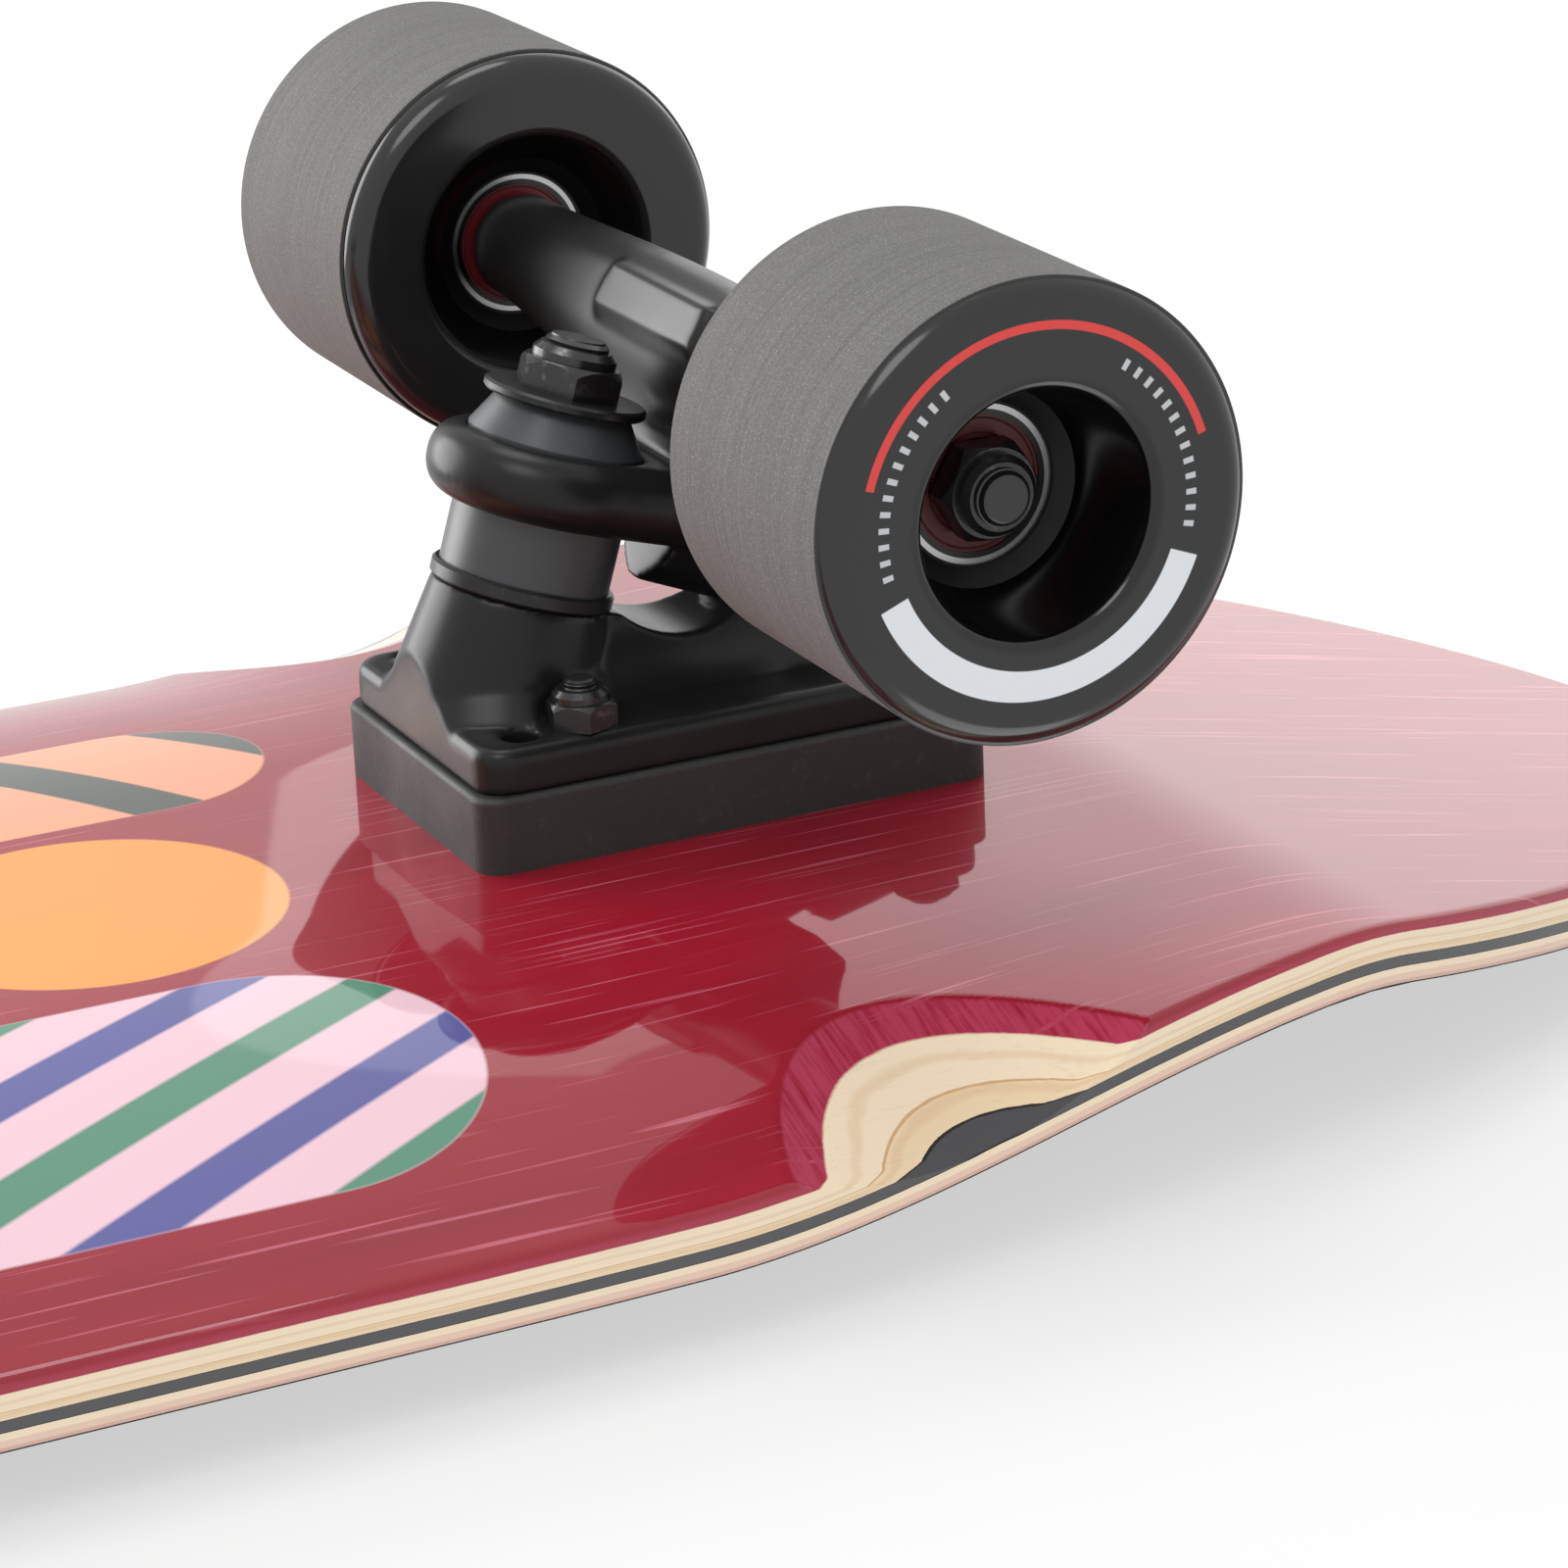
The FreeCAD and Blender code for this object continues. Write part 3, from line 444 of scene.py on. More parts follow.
# Painted highlight: the rounded lower edge of the stained veneer is lightened towards pale red, standing in
# for the light it catches.
painted_edge_highlight = deck_nodes.math("MULTIPLY", deck_nodes.band(depth_value, 0.0006, 1.0, 0.0004), 0.55)
printed_with_painted_edge_highlight = deck_nodes.mix(painted_edge_highlight, printed, smear_and_edge_highlight_pink)
cut_red = deck_nodes.mix(deck_nodes.band(drummed.outputs["Fac"], 0.12, 2.0, 0.12), printed_with_painted_edge_highlight, cut_red)
deck_colour = deck_nodes.mix(in_stain, plies, cut_red)
deck_nodes.feed(deck_shader.inputs["Base Color"], deck_colour)
deck_nodes.feed(deck_shader.inputs["Normal"], deck_nodes.bump(veneer.outputs[0], 0.12, 0.00015))

insets = np.concatenate([
    [0.0, 0.00012, 0.0003, 0.00055, 0.0009, 0.0013, 0.0018, 0.0023],
    np.arange(0.003, 0.037, 0.0008), np.arange(0.038, half_width, 0.004), [half_width],
])
sanding_fade = 0.0012
smear_depth = 0.0006
stations = lengthwise_stations()
lower, upper, lower_depth, lower_cut = [], [], [], []
for x in stations:
    y, edge = crosswise_places(x, insets)
    xs = np.full_like(y, x)
    base = deck_underside(xs, y)
    near = np.clip(edge_round - edge, 0, edge_round)
    rolled = base + edge_round - np.sqrt(edge_round ** 2 - near ** 2)
    z = np.maximum(rolled, well_floor(xs, y))
    sanded = np.clip((well_floor(xs, y) - base) / sanding_fade, 0, 1)
    sanded = sanded * np.clip(edge / edge_round, 0, 1)
    lower.append(np.stack([xs, y, z], axis=-1))
    upper.append(np.stack([xs, y, base + laminate], axis=-1))
    lower_depth.append(z - base - smear_depth * sanded)
    lower_cut.append(sanded)
rows, columns = len(stations), len(lower[0])
deck_points = np.concatenate([np.concatenate(lower), np.concatenate(upper)])
deck_layers = {
    "ply_depth": np.concatenate([np.concatenate(lower_depth), np.full(rows * columns, laminate)]),
    "drum_cut": np.concatenate([np.concatenate(lower_cut), np.zeros(rows * columns)]),
}
deck_faces = np.concatenate([
    grid_faces(rows, columns, 0, True), grid_faces(rows, columns, rows * columns, False),
    rim_faces(rows, columns, 0, rows * columns),
])
deck = mesh_piece("deck_laminate", deck_points, deck_faces, deck_finish, deck_layers)
deck.data.set_sharp_from_angle(angle=deck_crease)
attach(deck, "board")
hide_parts(*[name for name in frame["nodes"] if name.startswith("ply_")])

# Grip sheet: black silicon-carbide grit on an adhesive film, rolled onto the riding side and cut
# just inside the outline; the bolt heads sit level with it.
grip_thick = 0.0007
grip_inset = 0.0007
grip_edge = 0.0005
grit_dark = (0.014, 0.014, 0.015, 1)
grit_painted_glint = (0.16, 0.16, 0.17, 1)
grit_black, grit, grit_shader = new_material("silicon carbide grip", Roughness=0.88)
grit_places = grit.places()
grains = grit.node("ShaderNodeTexVoronoi", Vector=grit_places, Scale=2600.0)
painted_sparkle = grit.noise(grit_places, 5200.0, 1.0)
# Painted glints: random specks of the grit are painted lighter grey, standing in for the light they catch.
grit_colour = grit.mix(grit.band(painted_sparkle, 0.64, 2.0, 0.05), grit_dark, grit_painted_glint)
grit.feed(grit_shader.inputs["Base Color"], grit_colour)
grit.feed(grit_shader.inputs["Normal"], grit.bump(grains.outputs["Distance"], 0.9, 0.0004))
grip_insets = np.concatenate([[grip_inset, grip_inset + grip_edge], insets[8::3]])
grip_low, grip_high = [], []
for x in stations[::3]:
    y, edge = crosswise_places(x, grip_insets)
    xs = np.full_like(y, x)
    base = deck_underside(xs, y) + laminate
    grip_low.append(np.stack([xs, y, base], axis=-1))
    rise = np.where(edge < grip_inset + 0.0002, grip_thick * 0.3, grip_thick)
    grip_high.append(np.stack([xs, y, base + rise], axis=-1))
rows, columns = len(grip_low), len(grip_low[0])
grip_points = np.concatenate([np.concatenate(grip_low), np.concatenate(grip_high)])
grip_faces = np.concatenate([
    grid_faces(rows, columns, 0, True), grid_faces(rows, columns, rows * columns, False),
    rim_faces(rows, columns, 0, rows * columns),
])
grip = mesh_piece("grip_layer", grip_points, grip_faces, grit_black)
grip.data.set_sharp_from_angle(angle=deck_crease)
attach(grip, "board")
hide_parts("grip_sheet")

# Riser pads: moulded hard rubber blocks, matt and lightly scuffed, clamped between the deck and
# the truck by the four bolts.
wear = bpy.data.node_groups.new("scuffs and dust", "ShaderNodeTree")
wear.interface.new_socket("Places", in_out="INPUT", socket_type="NodeSocketVector")
wear.interface.new_socket("Scuffs", in_out="OUTPUT", socket_type="NodeSocketFloat")
wear.interface.new_socket("Cloud", in_out="OUTPUT", socket_type="NodeSocketFloat")
wear_in = wear.nodes.new("NodeGroupInput")
wear_out = wear.nodes.new("NodeGroupOutput")
marks = Shading(wear)
scuff_noise = marks.noise(wear_in.outputs[0], 420.0, 6.0, 0.72)
cloud_noise = marks.noise(wear_in.outputs[0], 60.0, 4.0, 0.6)
wear.links.new(marks.ramp(scuff_noise, ((0.56, (0, 0, 0)), (0.74, (1, 1, 1)))), wear_out.inputs[0])
wear.links.new(cloud_noise, wear_out.inputs[1])


def worn_material(name, tones, scuff, scuff_share, rough, grain_size, grain_depth, **fixed):
    """A finish with cloudy tone, fine scuffs and a fine grained surface.

    Tones and rough each give the dark or smooth end of their range, then the other end.
    """
    dark, light = tones
    material, nodes, shader = new_material(name, **fixed)
    places = nodes.places()
    worn = nodes.node("ShaderNodeGroup")
    worn.node_tree = wear
    nodes.feed(worn.inputs[0], places)
    tone = nodes.mix(worn.outputs[1], dark, light)
    tone = nodes.mix(nodes.math("MULTIPLY", worn.outputs[0], scuff_share), tone, scuff)
    nodes.feed(shader.inputs["Base Color"], tone)
    spread = nodes.node("ShaderNodeMapRange", Value=worn.outputs[1])
    spread.inputs["From Min"].default_value = 0.3
    spread.inputs["From Max"].default_value = 0.7
    spread.inputs["To Min"].default_value = rough[0]
    spread.inputs["To Max"].default_value = rough[1]
    nodes.feed(shader.inputs["Roughness"], spread.outputs[0])
    texture = nodes.noise(places, grain_size, 3.0, 0.6)
    nodes.feed(shader.inputs["Normal"], nodes.bump(texture, 0.35, grain_depth))
    return material


machined_crease = math.radians(32)


def refinish(node, material):
    """Give a node of the frame that keeps its own shape a better finish."""
    piece = frame["nodes"][node]
    piece.data.materials.clear()
    piece.data.materials.append(material)
    piece.data.shade_smooth()
    piece.data.set_sharp_from_angle(angle=machined_crease)


riser_rubber = worn_material(
    "moulded riser rubber", tones=((0.016, 0.0155, 0.0155, 1), (0.03, 0.029, 0.0285, 1)),
    scuff=(0.12, 0.115, 0.11, 1), scuff_share=0.28, rough=(0.50, 0.66),
    grain_size=1500.0, grain_depth=0.00012,
)
for end in ("front", "rear"):
    refinish("riser_" + end, riser_rubber)

# Truck castings: baseplate and hanger, gravity-cast aluminium with soft rounded junctions, blasted
# and powder coated satin black.
plate_skin, plate_softening = 0.0005, 12
hanger_skin, hanger_softening = 0.00055, 30
cast_black = worn_material(
    "satin black casting", tones=((0.0095, 0.0097, 0.0100, 1), (0.0150, 0.0152, 0.0155, 1)),
    scuff=(0.06, 0.06, 0.06, 1), scuff_share=0.05, rough=(0.27, 0.34),
    grain_size=900.0, grain_depth=0.00003, Specular_IOR_Level=0.26,
)


def cast_copy(name, node, skin, softening):
    """A casting in its node's place, its sharp junctions run together as the mould leaves them."""
    mesh = frame["nodes"][node].data.copy()
    mesh.materials.clear()
    piece = bpy.data.objects.new(name, mesh)
    bpy.context.scene.collection.objects.link(piece)
    remesh = piece.modifiers.new("even skin", "REMESH")
    remesh.mode = "VOXEL"
    remesh.voxel_size = skin
    soft = piece.modifiers.new("run together", "SMOOTH")
    soft.factor = 0.5
    soft.iterations = softening
    depsgraph = bpy.context.evaluated_depsgraph_get()
    finished = bpy.data.meshes.new_from_object(piece.evaluated_get(depsgraph))
    piece.modifiers.clear()
    piece.data = finished
    finished.materials.clear()
    finished.materials.append(cast_black)
    finished.shade_smooth()
    bpy.data.meshes.remove(mesh)
    return piece


for end in ("front", "rear"):
    plate = cast_copy("cast_baseplate_" + end, "baseplate_" + end, plate_skin, plate_softening)
    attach(plate, "board")
    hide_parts("baseplate_" + end)
    casting = cast_copy("cast_hanger_" + end, "hanger_" + end, hanger_skin, hanger_softening)
    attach(casting, "hanger_" + end)
    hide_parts("hanger_" + end)

# Kingpin group: a hex-headed bolt through the baseplate holding two poured urethane bushings
# between stamped cup washers, with a nylon-insert nut and rolled thread at the top.
bushing_black = worn_material(
    "poured bushing urethane", tones=((0.040, 0.044, 0.047, 1), (0.058, 0.063, 0.067, 1)),
    scuff=(0.12, 0.12, 0.13, 1), scuff_share=0.05, rough=(0.32, 0.42),
    grain_size=1200.0, grain_depth=0.00003,
)
washer_black = worn_material(
    "black oxide washers", tones=((0.016, 0.016, 0.017, 1), (0.032, 0.031, 0.031, 1)),
    scuff=(0.30, 0.29, 0.28, 1), scuff_share=0.12, rough=(0.28, 0.40),
    grain_size=1800.0, grain_depth=0.00003, Metallic=0.55,
)
nut_black = worn_material(
    "black oxide nuts", tones=((0.030, 0.030, 0.031, 1), (0.075, 0.074, 0.073, 1)),
    scuff=(0.45, 0.44, 0.43, 1), scuff_share=0.30, rough=(0.17, 0.28),
    grain_size=1500.0, grain_depth=0.00006, Metallic=0.75,
)

# Rolled thread on the bolts, kingpins and axles, as fine ridges along each shank, in blackened
# steel that the nuts turn on.
thread = bpy.data.node_groups.new("rolled thread", "ShaderNodeTree")
thread.interface.new_socket("Along", in_out="INPUT", socket_type="NodeSocketFloat")
thread.interface.new_socket("Pitch", in_out="INPUT", socket_type="NodeSocketFloat")
thread.interface.new_socket("Ridges", in_out="OUTPUT", socket_type="NodeSocketFloat")
thread_in = thread.nodes.new("NodeGroupInput")
thread_out = thread.nodes.new("NodeGroupOutput")
turns = Shading(thread)
turn_count = turns.math("DIVIDE", thread_in.outputs[0], thread_in.outputs[1])
thread.links.new(turns.math("PINGPONG", turn_count, 0.5), thread_out.inputs[0])


def threaded_material(name, direction, pitch):
    """Blackened steel with a rolled thread along a direction, mirrored for the other end or side."""
    material, nodes, shader = new_material(name, Metallic=0.65, Roughness=0.30)
    shader.inputs["Base Color"].default_value = (0.050, 0.049, 0.049, 1)
    place = nodes.node("ShaderNodeSeparateXYZ", Vector=nodes.places())
    along_x = nodes.math("MULTIPLY", nodes.math("ABSOLUTE", place.outputs[0]), direction[0])
    along_y = nodes.math("MULTIPLY", nodes.math("ABSOLUTE", place.outputs[1]), direction[1])
    along_z = nodes.math("MULTIPLY", place.outputs[2], direction[2])
    rolled = nodes.node("ShaderNodeGroup")
    rolled.node_tree = thread
    nodes.feed(rolled.inputs[0], nodes.math("ADD", along_x, nodes.math("ADD", along_y, along_z)))
    nodes.feed(rolled.inputs[1], pitch)
    nodes.feed(shader.inputs["Normal"], nodes.bump(rolled.outputs[0], 0.9, 0.0009))
    return material


kingpin_lean = math.radians(17.6)
kingpin_line = (math.sin(kingpin_lean), 0.0, -math.cos(kingpin_lean))
kingpin_steel = threaded_material("threaded kingpin steel", kingpin_line, pitch=0.0011)
bolt_steel = threaded_material("threaded bolt steel", (0.0, 0.0, 1.0), pitch=0.0008)
axle_steel = threaded_material("threaded axle steel", (0.0, 1.0, 0.0), pitch=0.0010)
for end in ("front", "rear"):
    for node, material in (
        ("barrel_bushing_", bushing_black), ("cone_bushing_", bushing_black),
        ("cup_washer_", washer_black), ("top_washer_", washer_black),
        ("kingpin_", kingpin_steel), ("kingpin_nut_", nut_black),
        ("pivot_cup_", bushing_black), ("mounting_bolts_", bolt_steel),
        ("mounting_nuts_", nut_black), ("axle_", axle_steel),
        ("axle_washers_", washer_black), ("axle_nuts_", nut_black),
    ):
        refinish(node + end, material)

# Bearings: pressed steel races either side of a spacer, closed with dark red rubber shields.
race_rim = 0.0102
# Painted shade: inside the outer race's lip, the inner races, spacers and the rest of the steel are coloured
# near black.
race_painted_shade = (0.040, 0.039, 0.038, 1)
race_bright = (0.46, 0.46, 0.47, 1)
shield_face = (0.135, 0.008, 0.014, 1)
# Painted shade: the thin moulded grooves of the shields are coloured darker red.
shield_groove_painted_shade = (0.045, 0.004, 0.006, 1)
groove_inner = (0.0068, 0.0070)
groove_outer = (0.0088, 0.0090)
ring_edge = 0.0001


def axle_distance(nodes):
    """Distance from the nearer truck's axle line."""
    place = nodes.node("ShaderNodeSeparateXYZ", Vector=nodes.places())
    dx = nodes.math("SUBTRACT", nodes.math("ABSOLUTE", place.outputs[0]), axle_x)
    dz = nodes.math("SUBTRACT", place.outputs[2], axle_z)
    return nodes.length(dx, dz)


race_steel_and_painted_shade, race, race_shader = new_material("ground bearing steel and painted shade", Metallic=1.0, Roughness=0.24)
# The lip beyond race_rim keeps the steel's own colour; everything nearer the axle gets the painted shade.
race_lip = race.band(axle_distance(race), race_rim, 1.0, ring_edge)
race.feed(race_shader.inputs["Base Color"], race.mix(race_lip, race_painted_shade, race_bright))
shield_red, shield, shield_shader = new_material("dark red shield rubber", Roughness=0.40)
shield_r = axle_distance(shield)
moulded = shield.math("MAXIMUM", shield.band(shield_r, *groove_inner, ring_edge),
                      shield.band(shield_r, *groove_outer, ring_edge))
shield.feed(shield_shader.inputs["Base Color"], shield.mix(moulded, shield_face, shield_groove_painted_shade))
shield.feed(shield_shader.inputs["Normal"], shield.bump(moulded, 0.6, 0.0003))
for end in ("front", "rear"):
    refinish("bearing_inner_races_" + end, race_steel_and_painted_shade)
    refinish("bearing_spacers_" + end, race_steel_and_painted_shade)
    for side in ("left", "right"):
        refinish("wheel_bearing_outer_races_" + end + "_" + side, race_steel_and_painted_shade)
        refinish("wheel_bearing_shields_" + end + "_" + side, shield_red)

# Wheels: soft black urethane cast round a stiff plastic hub. The tread is ground matt on a lathe,
# the lips and faces keep the mould's gloss, and a two-colour ring is pad-printed on the outer face.
tread_low, tread_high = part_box("wheel_tread_front_right")
core_low, core_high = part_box("wheel_core_front_right")
wheel_r = tread_high.z - axle_z
face_y, back_y = tread_high.y, tread_low.y
hub_low, hub_high = core_low.y, core_high.y
hub_wall = 0.0138
tread_back = 0.0038
tread_front = 0.0020
lip_out = (0.0278, 0.00369)
lip_in = (0.0272, 0.0038)
mouth_out = (0.0167, 0.0016)
mouth_in = (0.0184, 0.0016)
print_soft = 0.00012
turn_soft = 0.4
red_ring, red_sweep = (0.0248, 0.0260), 73.0
white_ring, white_from = (0.0208, 0.0250), 111.5
tick_ring, tick_pitch, tick_run = (0.0218, 0.0233), 5.5, (33.0, 104.5)
moulded_black = (0.0170, 0.0170, 0.0175, 1)
mouth_painted_shade = (0.0035, 0.0035, 0.0037, 1)
ground_dark = (0.055, 0.054, 0.053, 1)
ground_light = (0.155, 0.153, 0.149, 1)
ground_warm = (0.155, 0.150, 0.140, 1)
dust_grey = (0.40, 0.40, 0.38, 1)
arc_red = (0.76, 0.050, 0.045, 1)
arc_white = (0.80, 0.83, 0.86, 1)
tick_grey = (0.58, 0.60, 0.62, 1)
tyre_crease = math.radians(38)


def bend_points(centre, radius, start, end, steps=10):
    """Points of an arc in the (radius, along) plane, angles in degrees from straight out."""
    angles = np.radians(np.linspace(start, end, steps + 1))
    return [(centre[0] + radius * math.cos(a), centre[1] + radius * math.sin(a)) for a in angles]


def turned_piece(name, profile, material, segments, place, turn):
    """Revolve a closed (radius, along) profile about the piece's own Y axis."""
    angles = np.linspace(0, 2 * math.pi, segments, endpoint=False)
    radius = np.array([p[0] for p in profile])
    along = np.array([p[1] for p in profile])
    x = radius[None, :] * np.cos(angles)[:, None]
    z = radius[None, :] * np.sin(angles)[:, None]
    y = np.broadcast_to(along[None, :], x.shape)
    points = np.stack([x, y, z], axis=-1).reshape(-1, 3)
    n = len(profile)
    faces = []
    for i in range(segments):
        j = (i + 1) % segments
        for k in range(n):
            m = (k + 1) % n
            faces.append((i * n + k, i * n + m, j * n + m, j * n + k))
    piece = mesh_piece(name, points, faces, material)
    piece.data.set_sharp_from_angle(angle=tyre_crease)
    piece.location = place
    piece.rotation_euler = (0, 0, turn)
    return piece


wheel_black, tyre, tyre_shader = new_material("cast and ground urethane", IOR=1.5)
tyre_places = tyre.places()
tyre_axis = tyre.node("ShaderNodeSeparateXYZ", Vector=tyre_places)
tyre_x, tyre_y, tyre_z = tyre_axis.outputs
spin_radius = tyre.length(tyre_x, tyre_z)
spin_angle = tyre.math("ARCTAN2", tyre_x, tyre.math("MULTIPLY", tyre_z, -1.0))
fold = tyre.math("DEGREES", tyre.math("ABSOLUTE", spin_angle))
ground = tyre.math("MULTIPLY", tyre.band(spin_radius, wheel_r - 0.0002, 1.0, 0.0001),
                   tyre.band(tyre_y, back_y + tread_back - 0.0001, face_y - tread_front, 0.0001))
outer_face = tyre.band(tyre_y, face_y - 0.0003, 1.0, 0.0002)
lathe_lines = tyre.noise(tyre.places((25, 1900, 25)), 1.0, 2.0)
dust_specks = tyre.noise(tyre_places, 3600.0, 2.0, 0.7)
wide_tone = tyre.noise(tyre.places((18, 60, 18)), 1.0, 2.0)
tread_tone = tyre.mix(lathe_lines, ground_dark, ground_light)
tread_tone = tyre.mix(tyre.math("MULTIPLY", wide_tone, 0.4), tread_tone, ground_warm)
dust_share = tyre.math("MULTIPLY", tyre.band(dust_specks, 0.60, 2.0, 0.10), 0.35)
tread_tone = tyre.mix(dust_share, tread_tone, dust_grey)
tyre_tone = tyre.mix(ground, moulded_black, tread_tone)
red_arc = overlap(tyre, outer_face, tyre.band(spin_radius, *red_ring, print_soft),
                  tyre.band(fold, -1.0, red_sweep, turn_soft))
white_arc = overlap(tyre, outer_face, tyre.band(spin_radius, *white_ring, print_soft),
                    tyre.band(fold, white_from, 400.0, turn_soft))
tick_phase = tyre.math("FRACT", tyre.math("MULTIPLY", fold, 1 / tick_pitch))
ticks = overlap(tyre, outer_face, tyre.band(spin_radius, *tick_ring, print_soft),
                tyre.band(tick_phase, 0.32, 0.68, 0.03), tyre.band(fold, *tick_run, 0.1))
# Painted shade: the urethane inside the mouth, down its walls to the hub, is coloured near black.
in_mouth_painted_shade = tyre.band(spin_radius, -1.0, mouth_in[0], 0.001)
tyre_tone = tyre.mix(in_mouth_painted_shade, tyre_tone, mouth_painted_shade)
tyre_tone = tyre.mix(red_arc, tyre_tone, arc_red)
tyre_tone = tyre.mix(white_arc, tyre_tone, arc_white)
tyre_tone = tyre.mix(ticks, tyre_tone, tick_grey)
tyre.feed(tyre_shader.inputs["Base Color"], tyre_tone)
tyre_rough = tyre.node("ShaderNodeMapRange", Value=ground)
tyre_rough.inputs["To Min"].default_value = 0.15
tyre_rough.inputs["To Max"].default_value = 0.85
tyre.feed(tyre_shader.inputs["Roughness"], tyre_rough.outputs[0])
tread_grain = tyre.math("MULTIPLY", tyre.math("ADD", dust_specks, lathe_lines), ground)
tyre.feed(tyre_shader.inputs["Normal"], tyre.bump(tread_grain, 0.5, 0.00012))

hub_black = worn_material(
    "moulded hub plastic", tones=((0.0035, 0.0035, 0.004, 1), (0.006, 0.006, 0.0065, 1)),
    scuff=(0.03, 0.03, 0.03, 1), scuff_share=0.04, rough=(0.34, 0.46),
    grain_size=1500.0, grain_depth=0.00002, Specular_IOR_Level=0.22,
)
lip_out_start = 29.9
lip_in_end = -2.3
tyre_profile = [(wheel_r, back_y + tread_back), (wheel_r, face_y - tread_front)]
tyre_profile += bend_points((lip_out[0], face_y - lip_out[1]), lip_out[1], lip_out_start, 90)
tyre_profile += bend_points(
    (mouth_out[0] + mouth_out[1], face_y - mouth_out[1]), mouth_out[1], 90, 180, 8
)
tyre_profile += [(hub_wall, hub_high), (hub_wall, hub_low)]
tyre_profile += bend_points(
    (mouth_in[0] + mouth_in[1], back_y + mouth_in[1]), mouth_in[1], 180, 270, 8
)
tyre_profile += bend_points((lip_in[0], back_y + lip_in[1]), lip_in[1], -90, lip_in_end)
for end, sign in (("front", 1), ("rear", -1)):
    for side in ("left", "right"):
        node = "wheel_tread_" + end + "_" + side
        outward = 1 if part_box(node)[1].y > 0 else -1
        tyre_piece = turned_piece(
            "urethane_tyre_" + end + "_" + side, tyre_profile, wheel_black, 192,
            (sign * axle_x, 0, axle_z), 0.0 if outward > 0 else math.pi,
        )
        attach(tyre_piece, "wheel_" + end + "_" + side)
        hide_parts(node)
        refinish("wheel_core_" + end + "_" + side, hub_black)

# Camera, studio light and floor: a large white room with soft light from above and below, and a
# pale floor under the wheels and over the upturned deck, each seen only from its own side.
camera_place = Vector((-0.0273, 0.67759, -0.16844))
camera_lens = 119.63183
film_width = 36.0
azimuth, elevation, roll = math.radians(24.84), math.radians(20.06), math.radians(-2.45)
level_reach = math.cos(elevation)
forward = Vector((
    math.sin(azimuth) * level_reach, math.cos(azimuth) * level_reach, -math.sin(elevation)
))
level_right = forward.cross(Vector((0, 0, 1))).normalized()
level_up = level_right.cross(forward)
right = level_right * math.cos(roll) + level_up * math.sin(roll)
up = level_up * math.cos(roll) - level_right * math.sin(roll)


def turned_over(v):
    """The same direction for the board lying wheels up."""
    return Vector((v.x, -v.y, -v.z))


camera_data = bpy.data.cameras.new("view")
camera_data.sensor_width = film_width
camera_data.lens = camera_lens
camera_data.clip_start = 0.01
camera = bpy.data.objects.new("view", camera_data)
camera.matrix_world = Matrix.Translation(camera_place) @ Matrix((
    turned_over(right), turned_over(up), turned_over(-forward)
)).transposed().to_4x4()
bpy.context.scene.collection.objects.link(camera)
bpy.context.scene.camera = camera

scene = bpy.context.scene
scene.view_settings.view_transform = "Standard"
room = bpy.data.worlds.new("white room")
room.use_nodes = True
scene.world = room
sky = Shading(room.node_tree)
backdrop = room.node_tree.nodes["Background"]
paths = room.node_tree.nodes.new("ShaderNodeLightPath")
seen = sky.math("MAXIMUM", paths.outputs["Is Camera Ray"],
                sky.math("MAXIMUM", paths.outputs["Is Glossy Ray"], paths.outputs["Is Transmission Ray"]))
sky.feed(backdrop.inputs["Color"], (1, 1, 1, 1))
room_light, seen_extra = 0.68, 0.27
sky.feed(backdrop.inputs["Strength"], sky.math("MULTIPLY_ADD", seen, seen_extra, room_light))


def soft_lamp(name, place, target, size, power):
    """Round soft lamp that lights the board and isn't seen itself."""
    lamp = bpy.data.lights.new(name, "AREA")
    lamp.shape = "DISK"
    lamp.size = size
    lamp.energy = power
    holder = bpy.data.objects.new(name, lamp)
    holder.location = place
    holder.rotation_euler = (Vector(target) - Vector(place)).to_track_quat("-Z", "Y").to_euler()
    holder.visible_camera = False
    scene.collection.objects.link(holder)


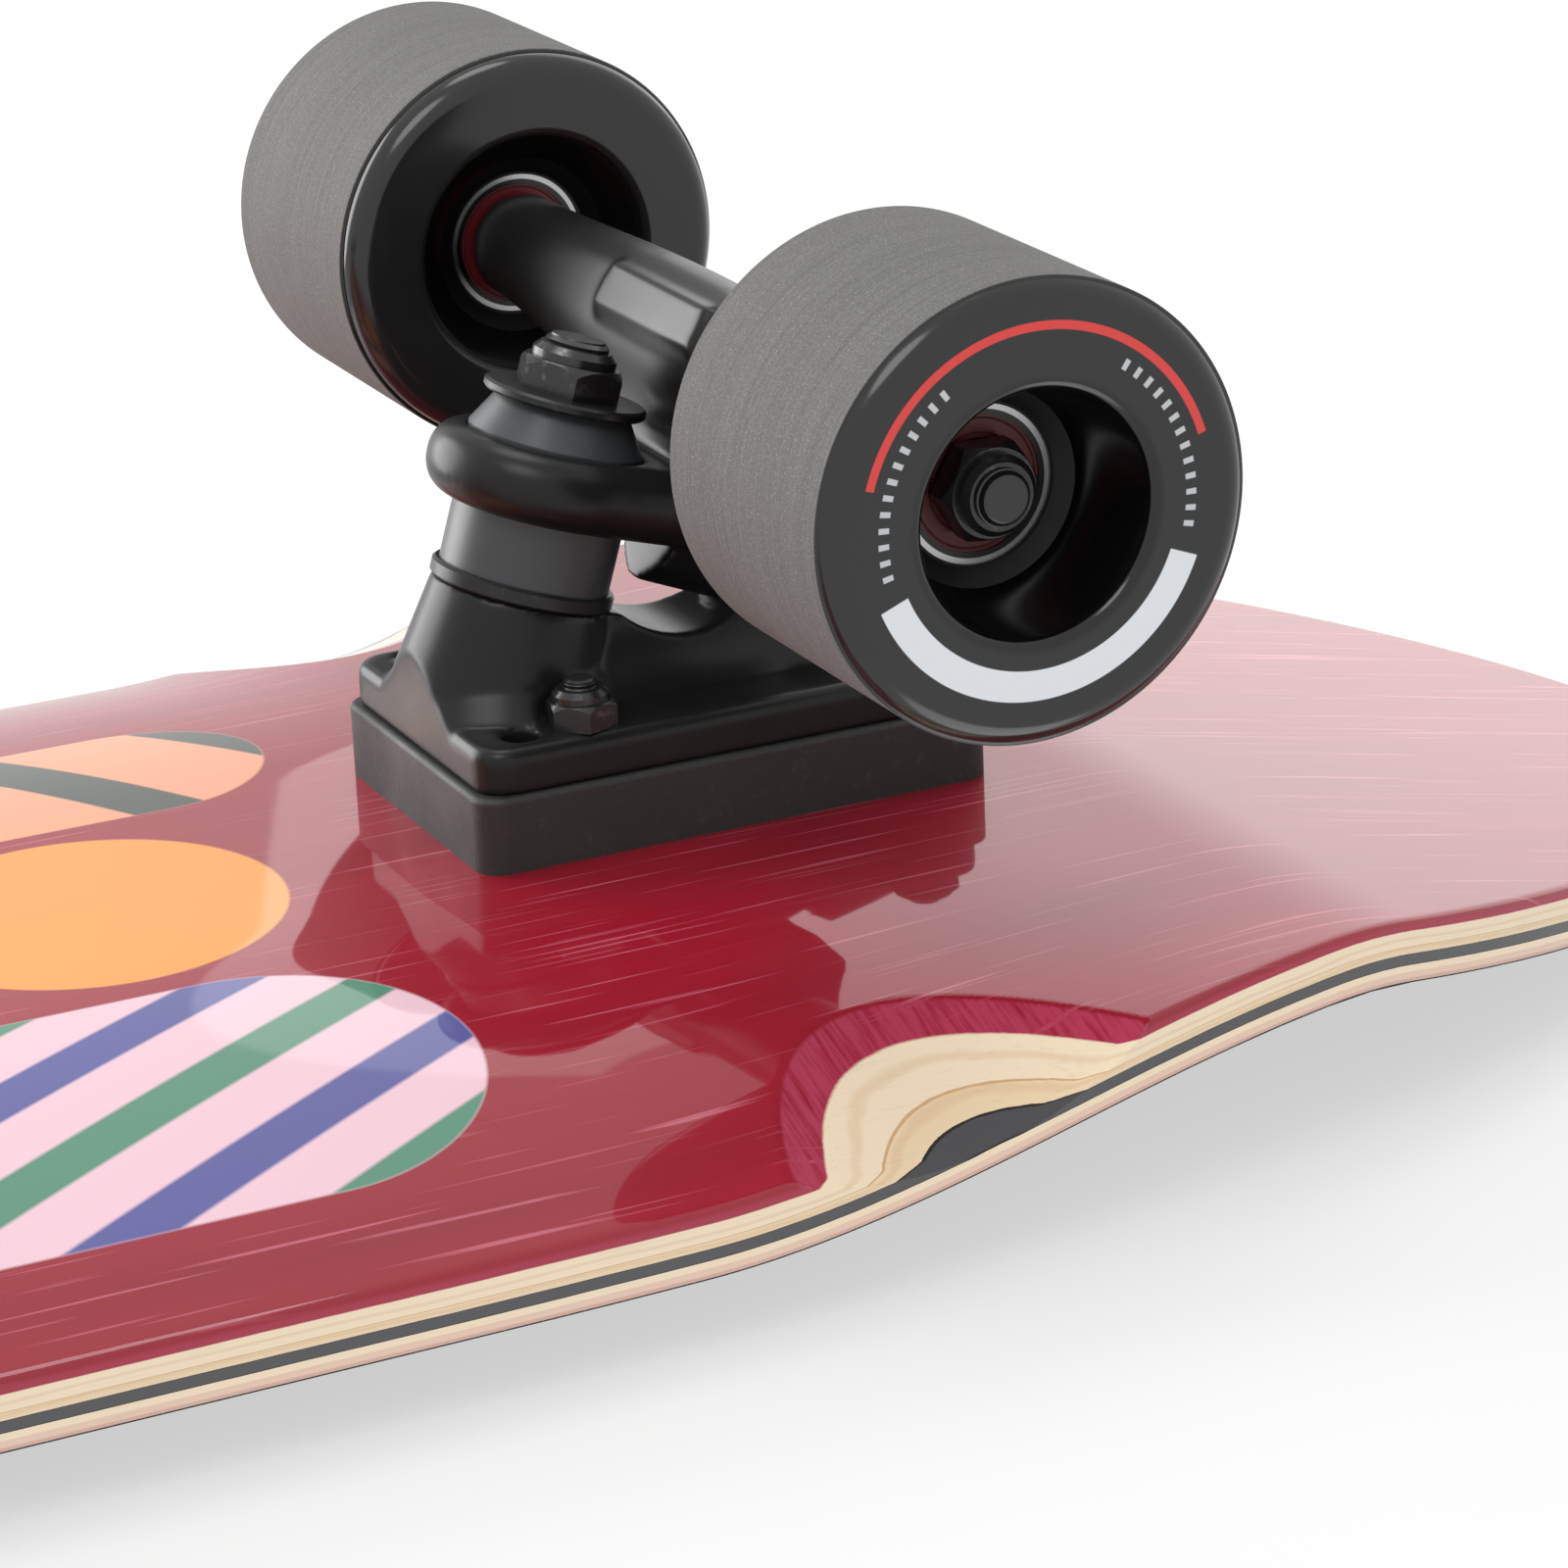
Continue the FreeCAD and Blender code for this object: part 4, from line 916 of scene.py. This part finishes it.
aim_below = (0.25, 0, 0.05)
aim_above = (0, 0, 0.1)
soft_lamp("key_below", (-0.6, 0.9, -1.5), aim_below, size=1.0, power=9.0)
soft_lamp("side_below", (-0.51, -1.00, -0.24), aim_below, size=1.1, power=17.0)
soft_lamp("back_below", (1.85, -1.75, -0.95), aim_below, size=2.2, power=10.0)
soft_lamp("top_below", (0.35, -0.35, -1.70), aim_below, size=0.8, power=6.0)
soft_lamp("key_above", (0.8, 1.2, 1.9), aim_above, size=1.4, power=9.0)
soft_lamp("fill_above", (-1.3, -0.9, 1.6), aim_above, size=1.4, power=6.0)


floor_half = 6.0
floor_tone = (0.93, 0.93, 0.93, 1)
floor_glow = 0.62
floor_gap = 0.0005


def floor_plane(name, height, faces_up):
    """Pale floor that is seen, and takes shadow, from one side only."""
    corners = [
        (-floor_half, -floor_half, height), (floor_half, -floor_half, height),
        (floor_half, floor_half, height), (-floor_half, floor_half, height),
    ]
    material, nodes, shader = new_material(name, Roughness=0.9, Specular_IOR_Level=0.0)
    shader.inputs["Base Color"].default_value = floor_tone
    mesh = bpy.data.meshes.new(name)
    mesh.from_pydata(corners, [], [(0, 1, 2, 3) if faces_up else (3, 2, 1, 0)])
    mesh.materials.append(material)
    plane = bpy.data.objects.new(name, mesh)
    scene.collection.objects.link(plane)
    geometry = nodes.node("ShaderNodeNewGeometry")
    clear = nodes.node("ShaderNodeBsdfTransparent")
    glow = nodes.node("ShaderNodeEmission", Color=floor_tone, Strength=1.0)
    soften = nodes.node("ShaderNodeMixShader", Fac=floor_glow)
    material.node_tree.links.new(shader.outputs[0], soften.inputs[1])
    material.node_tree.links.new(glow.outputs[0], soften.inputs[2])
    choose = nodes.node("ShaderNodeMixShader", Fac=geometry.outputs["Backfacing"])
    material.node_tree.links.new(soften.outputs[0], choose.inputs[1])
    material.node_tree.links.new(clear.outputs[0], choose.inputs[2])
    material.node_tree.links.new(choose.outputs[0], material.node_tree.nodes["Material Output"].inputs[0])
    plane.visible_diffuse = False
    plane.visible_glossy = False
    plane.visible_transmission = False
    plane.visible_shadow = False


floor_plane("floor_under_wheels", 0.0, True)
floor_plane("floor_over_deck", cad_box[1][2] + floor_gap, False)
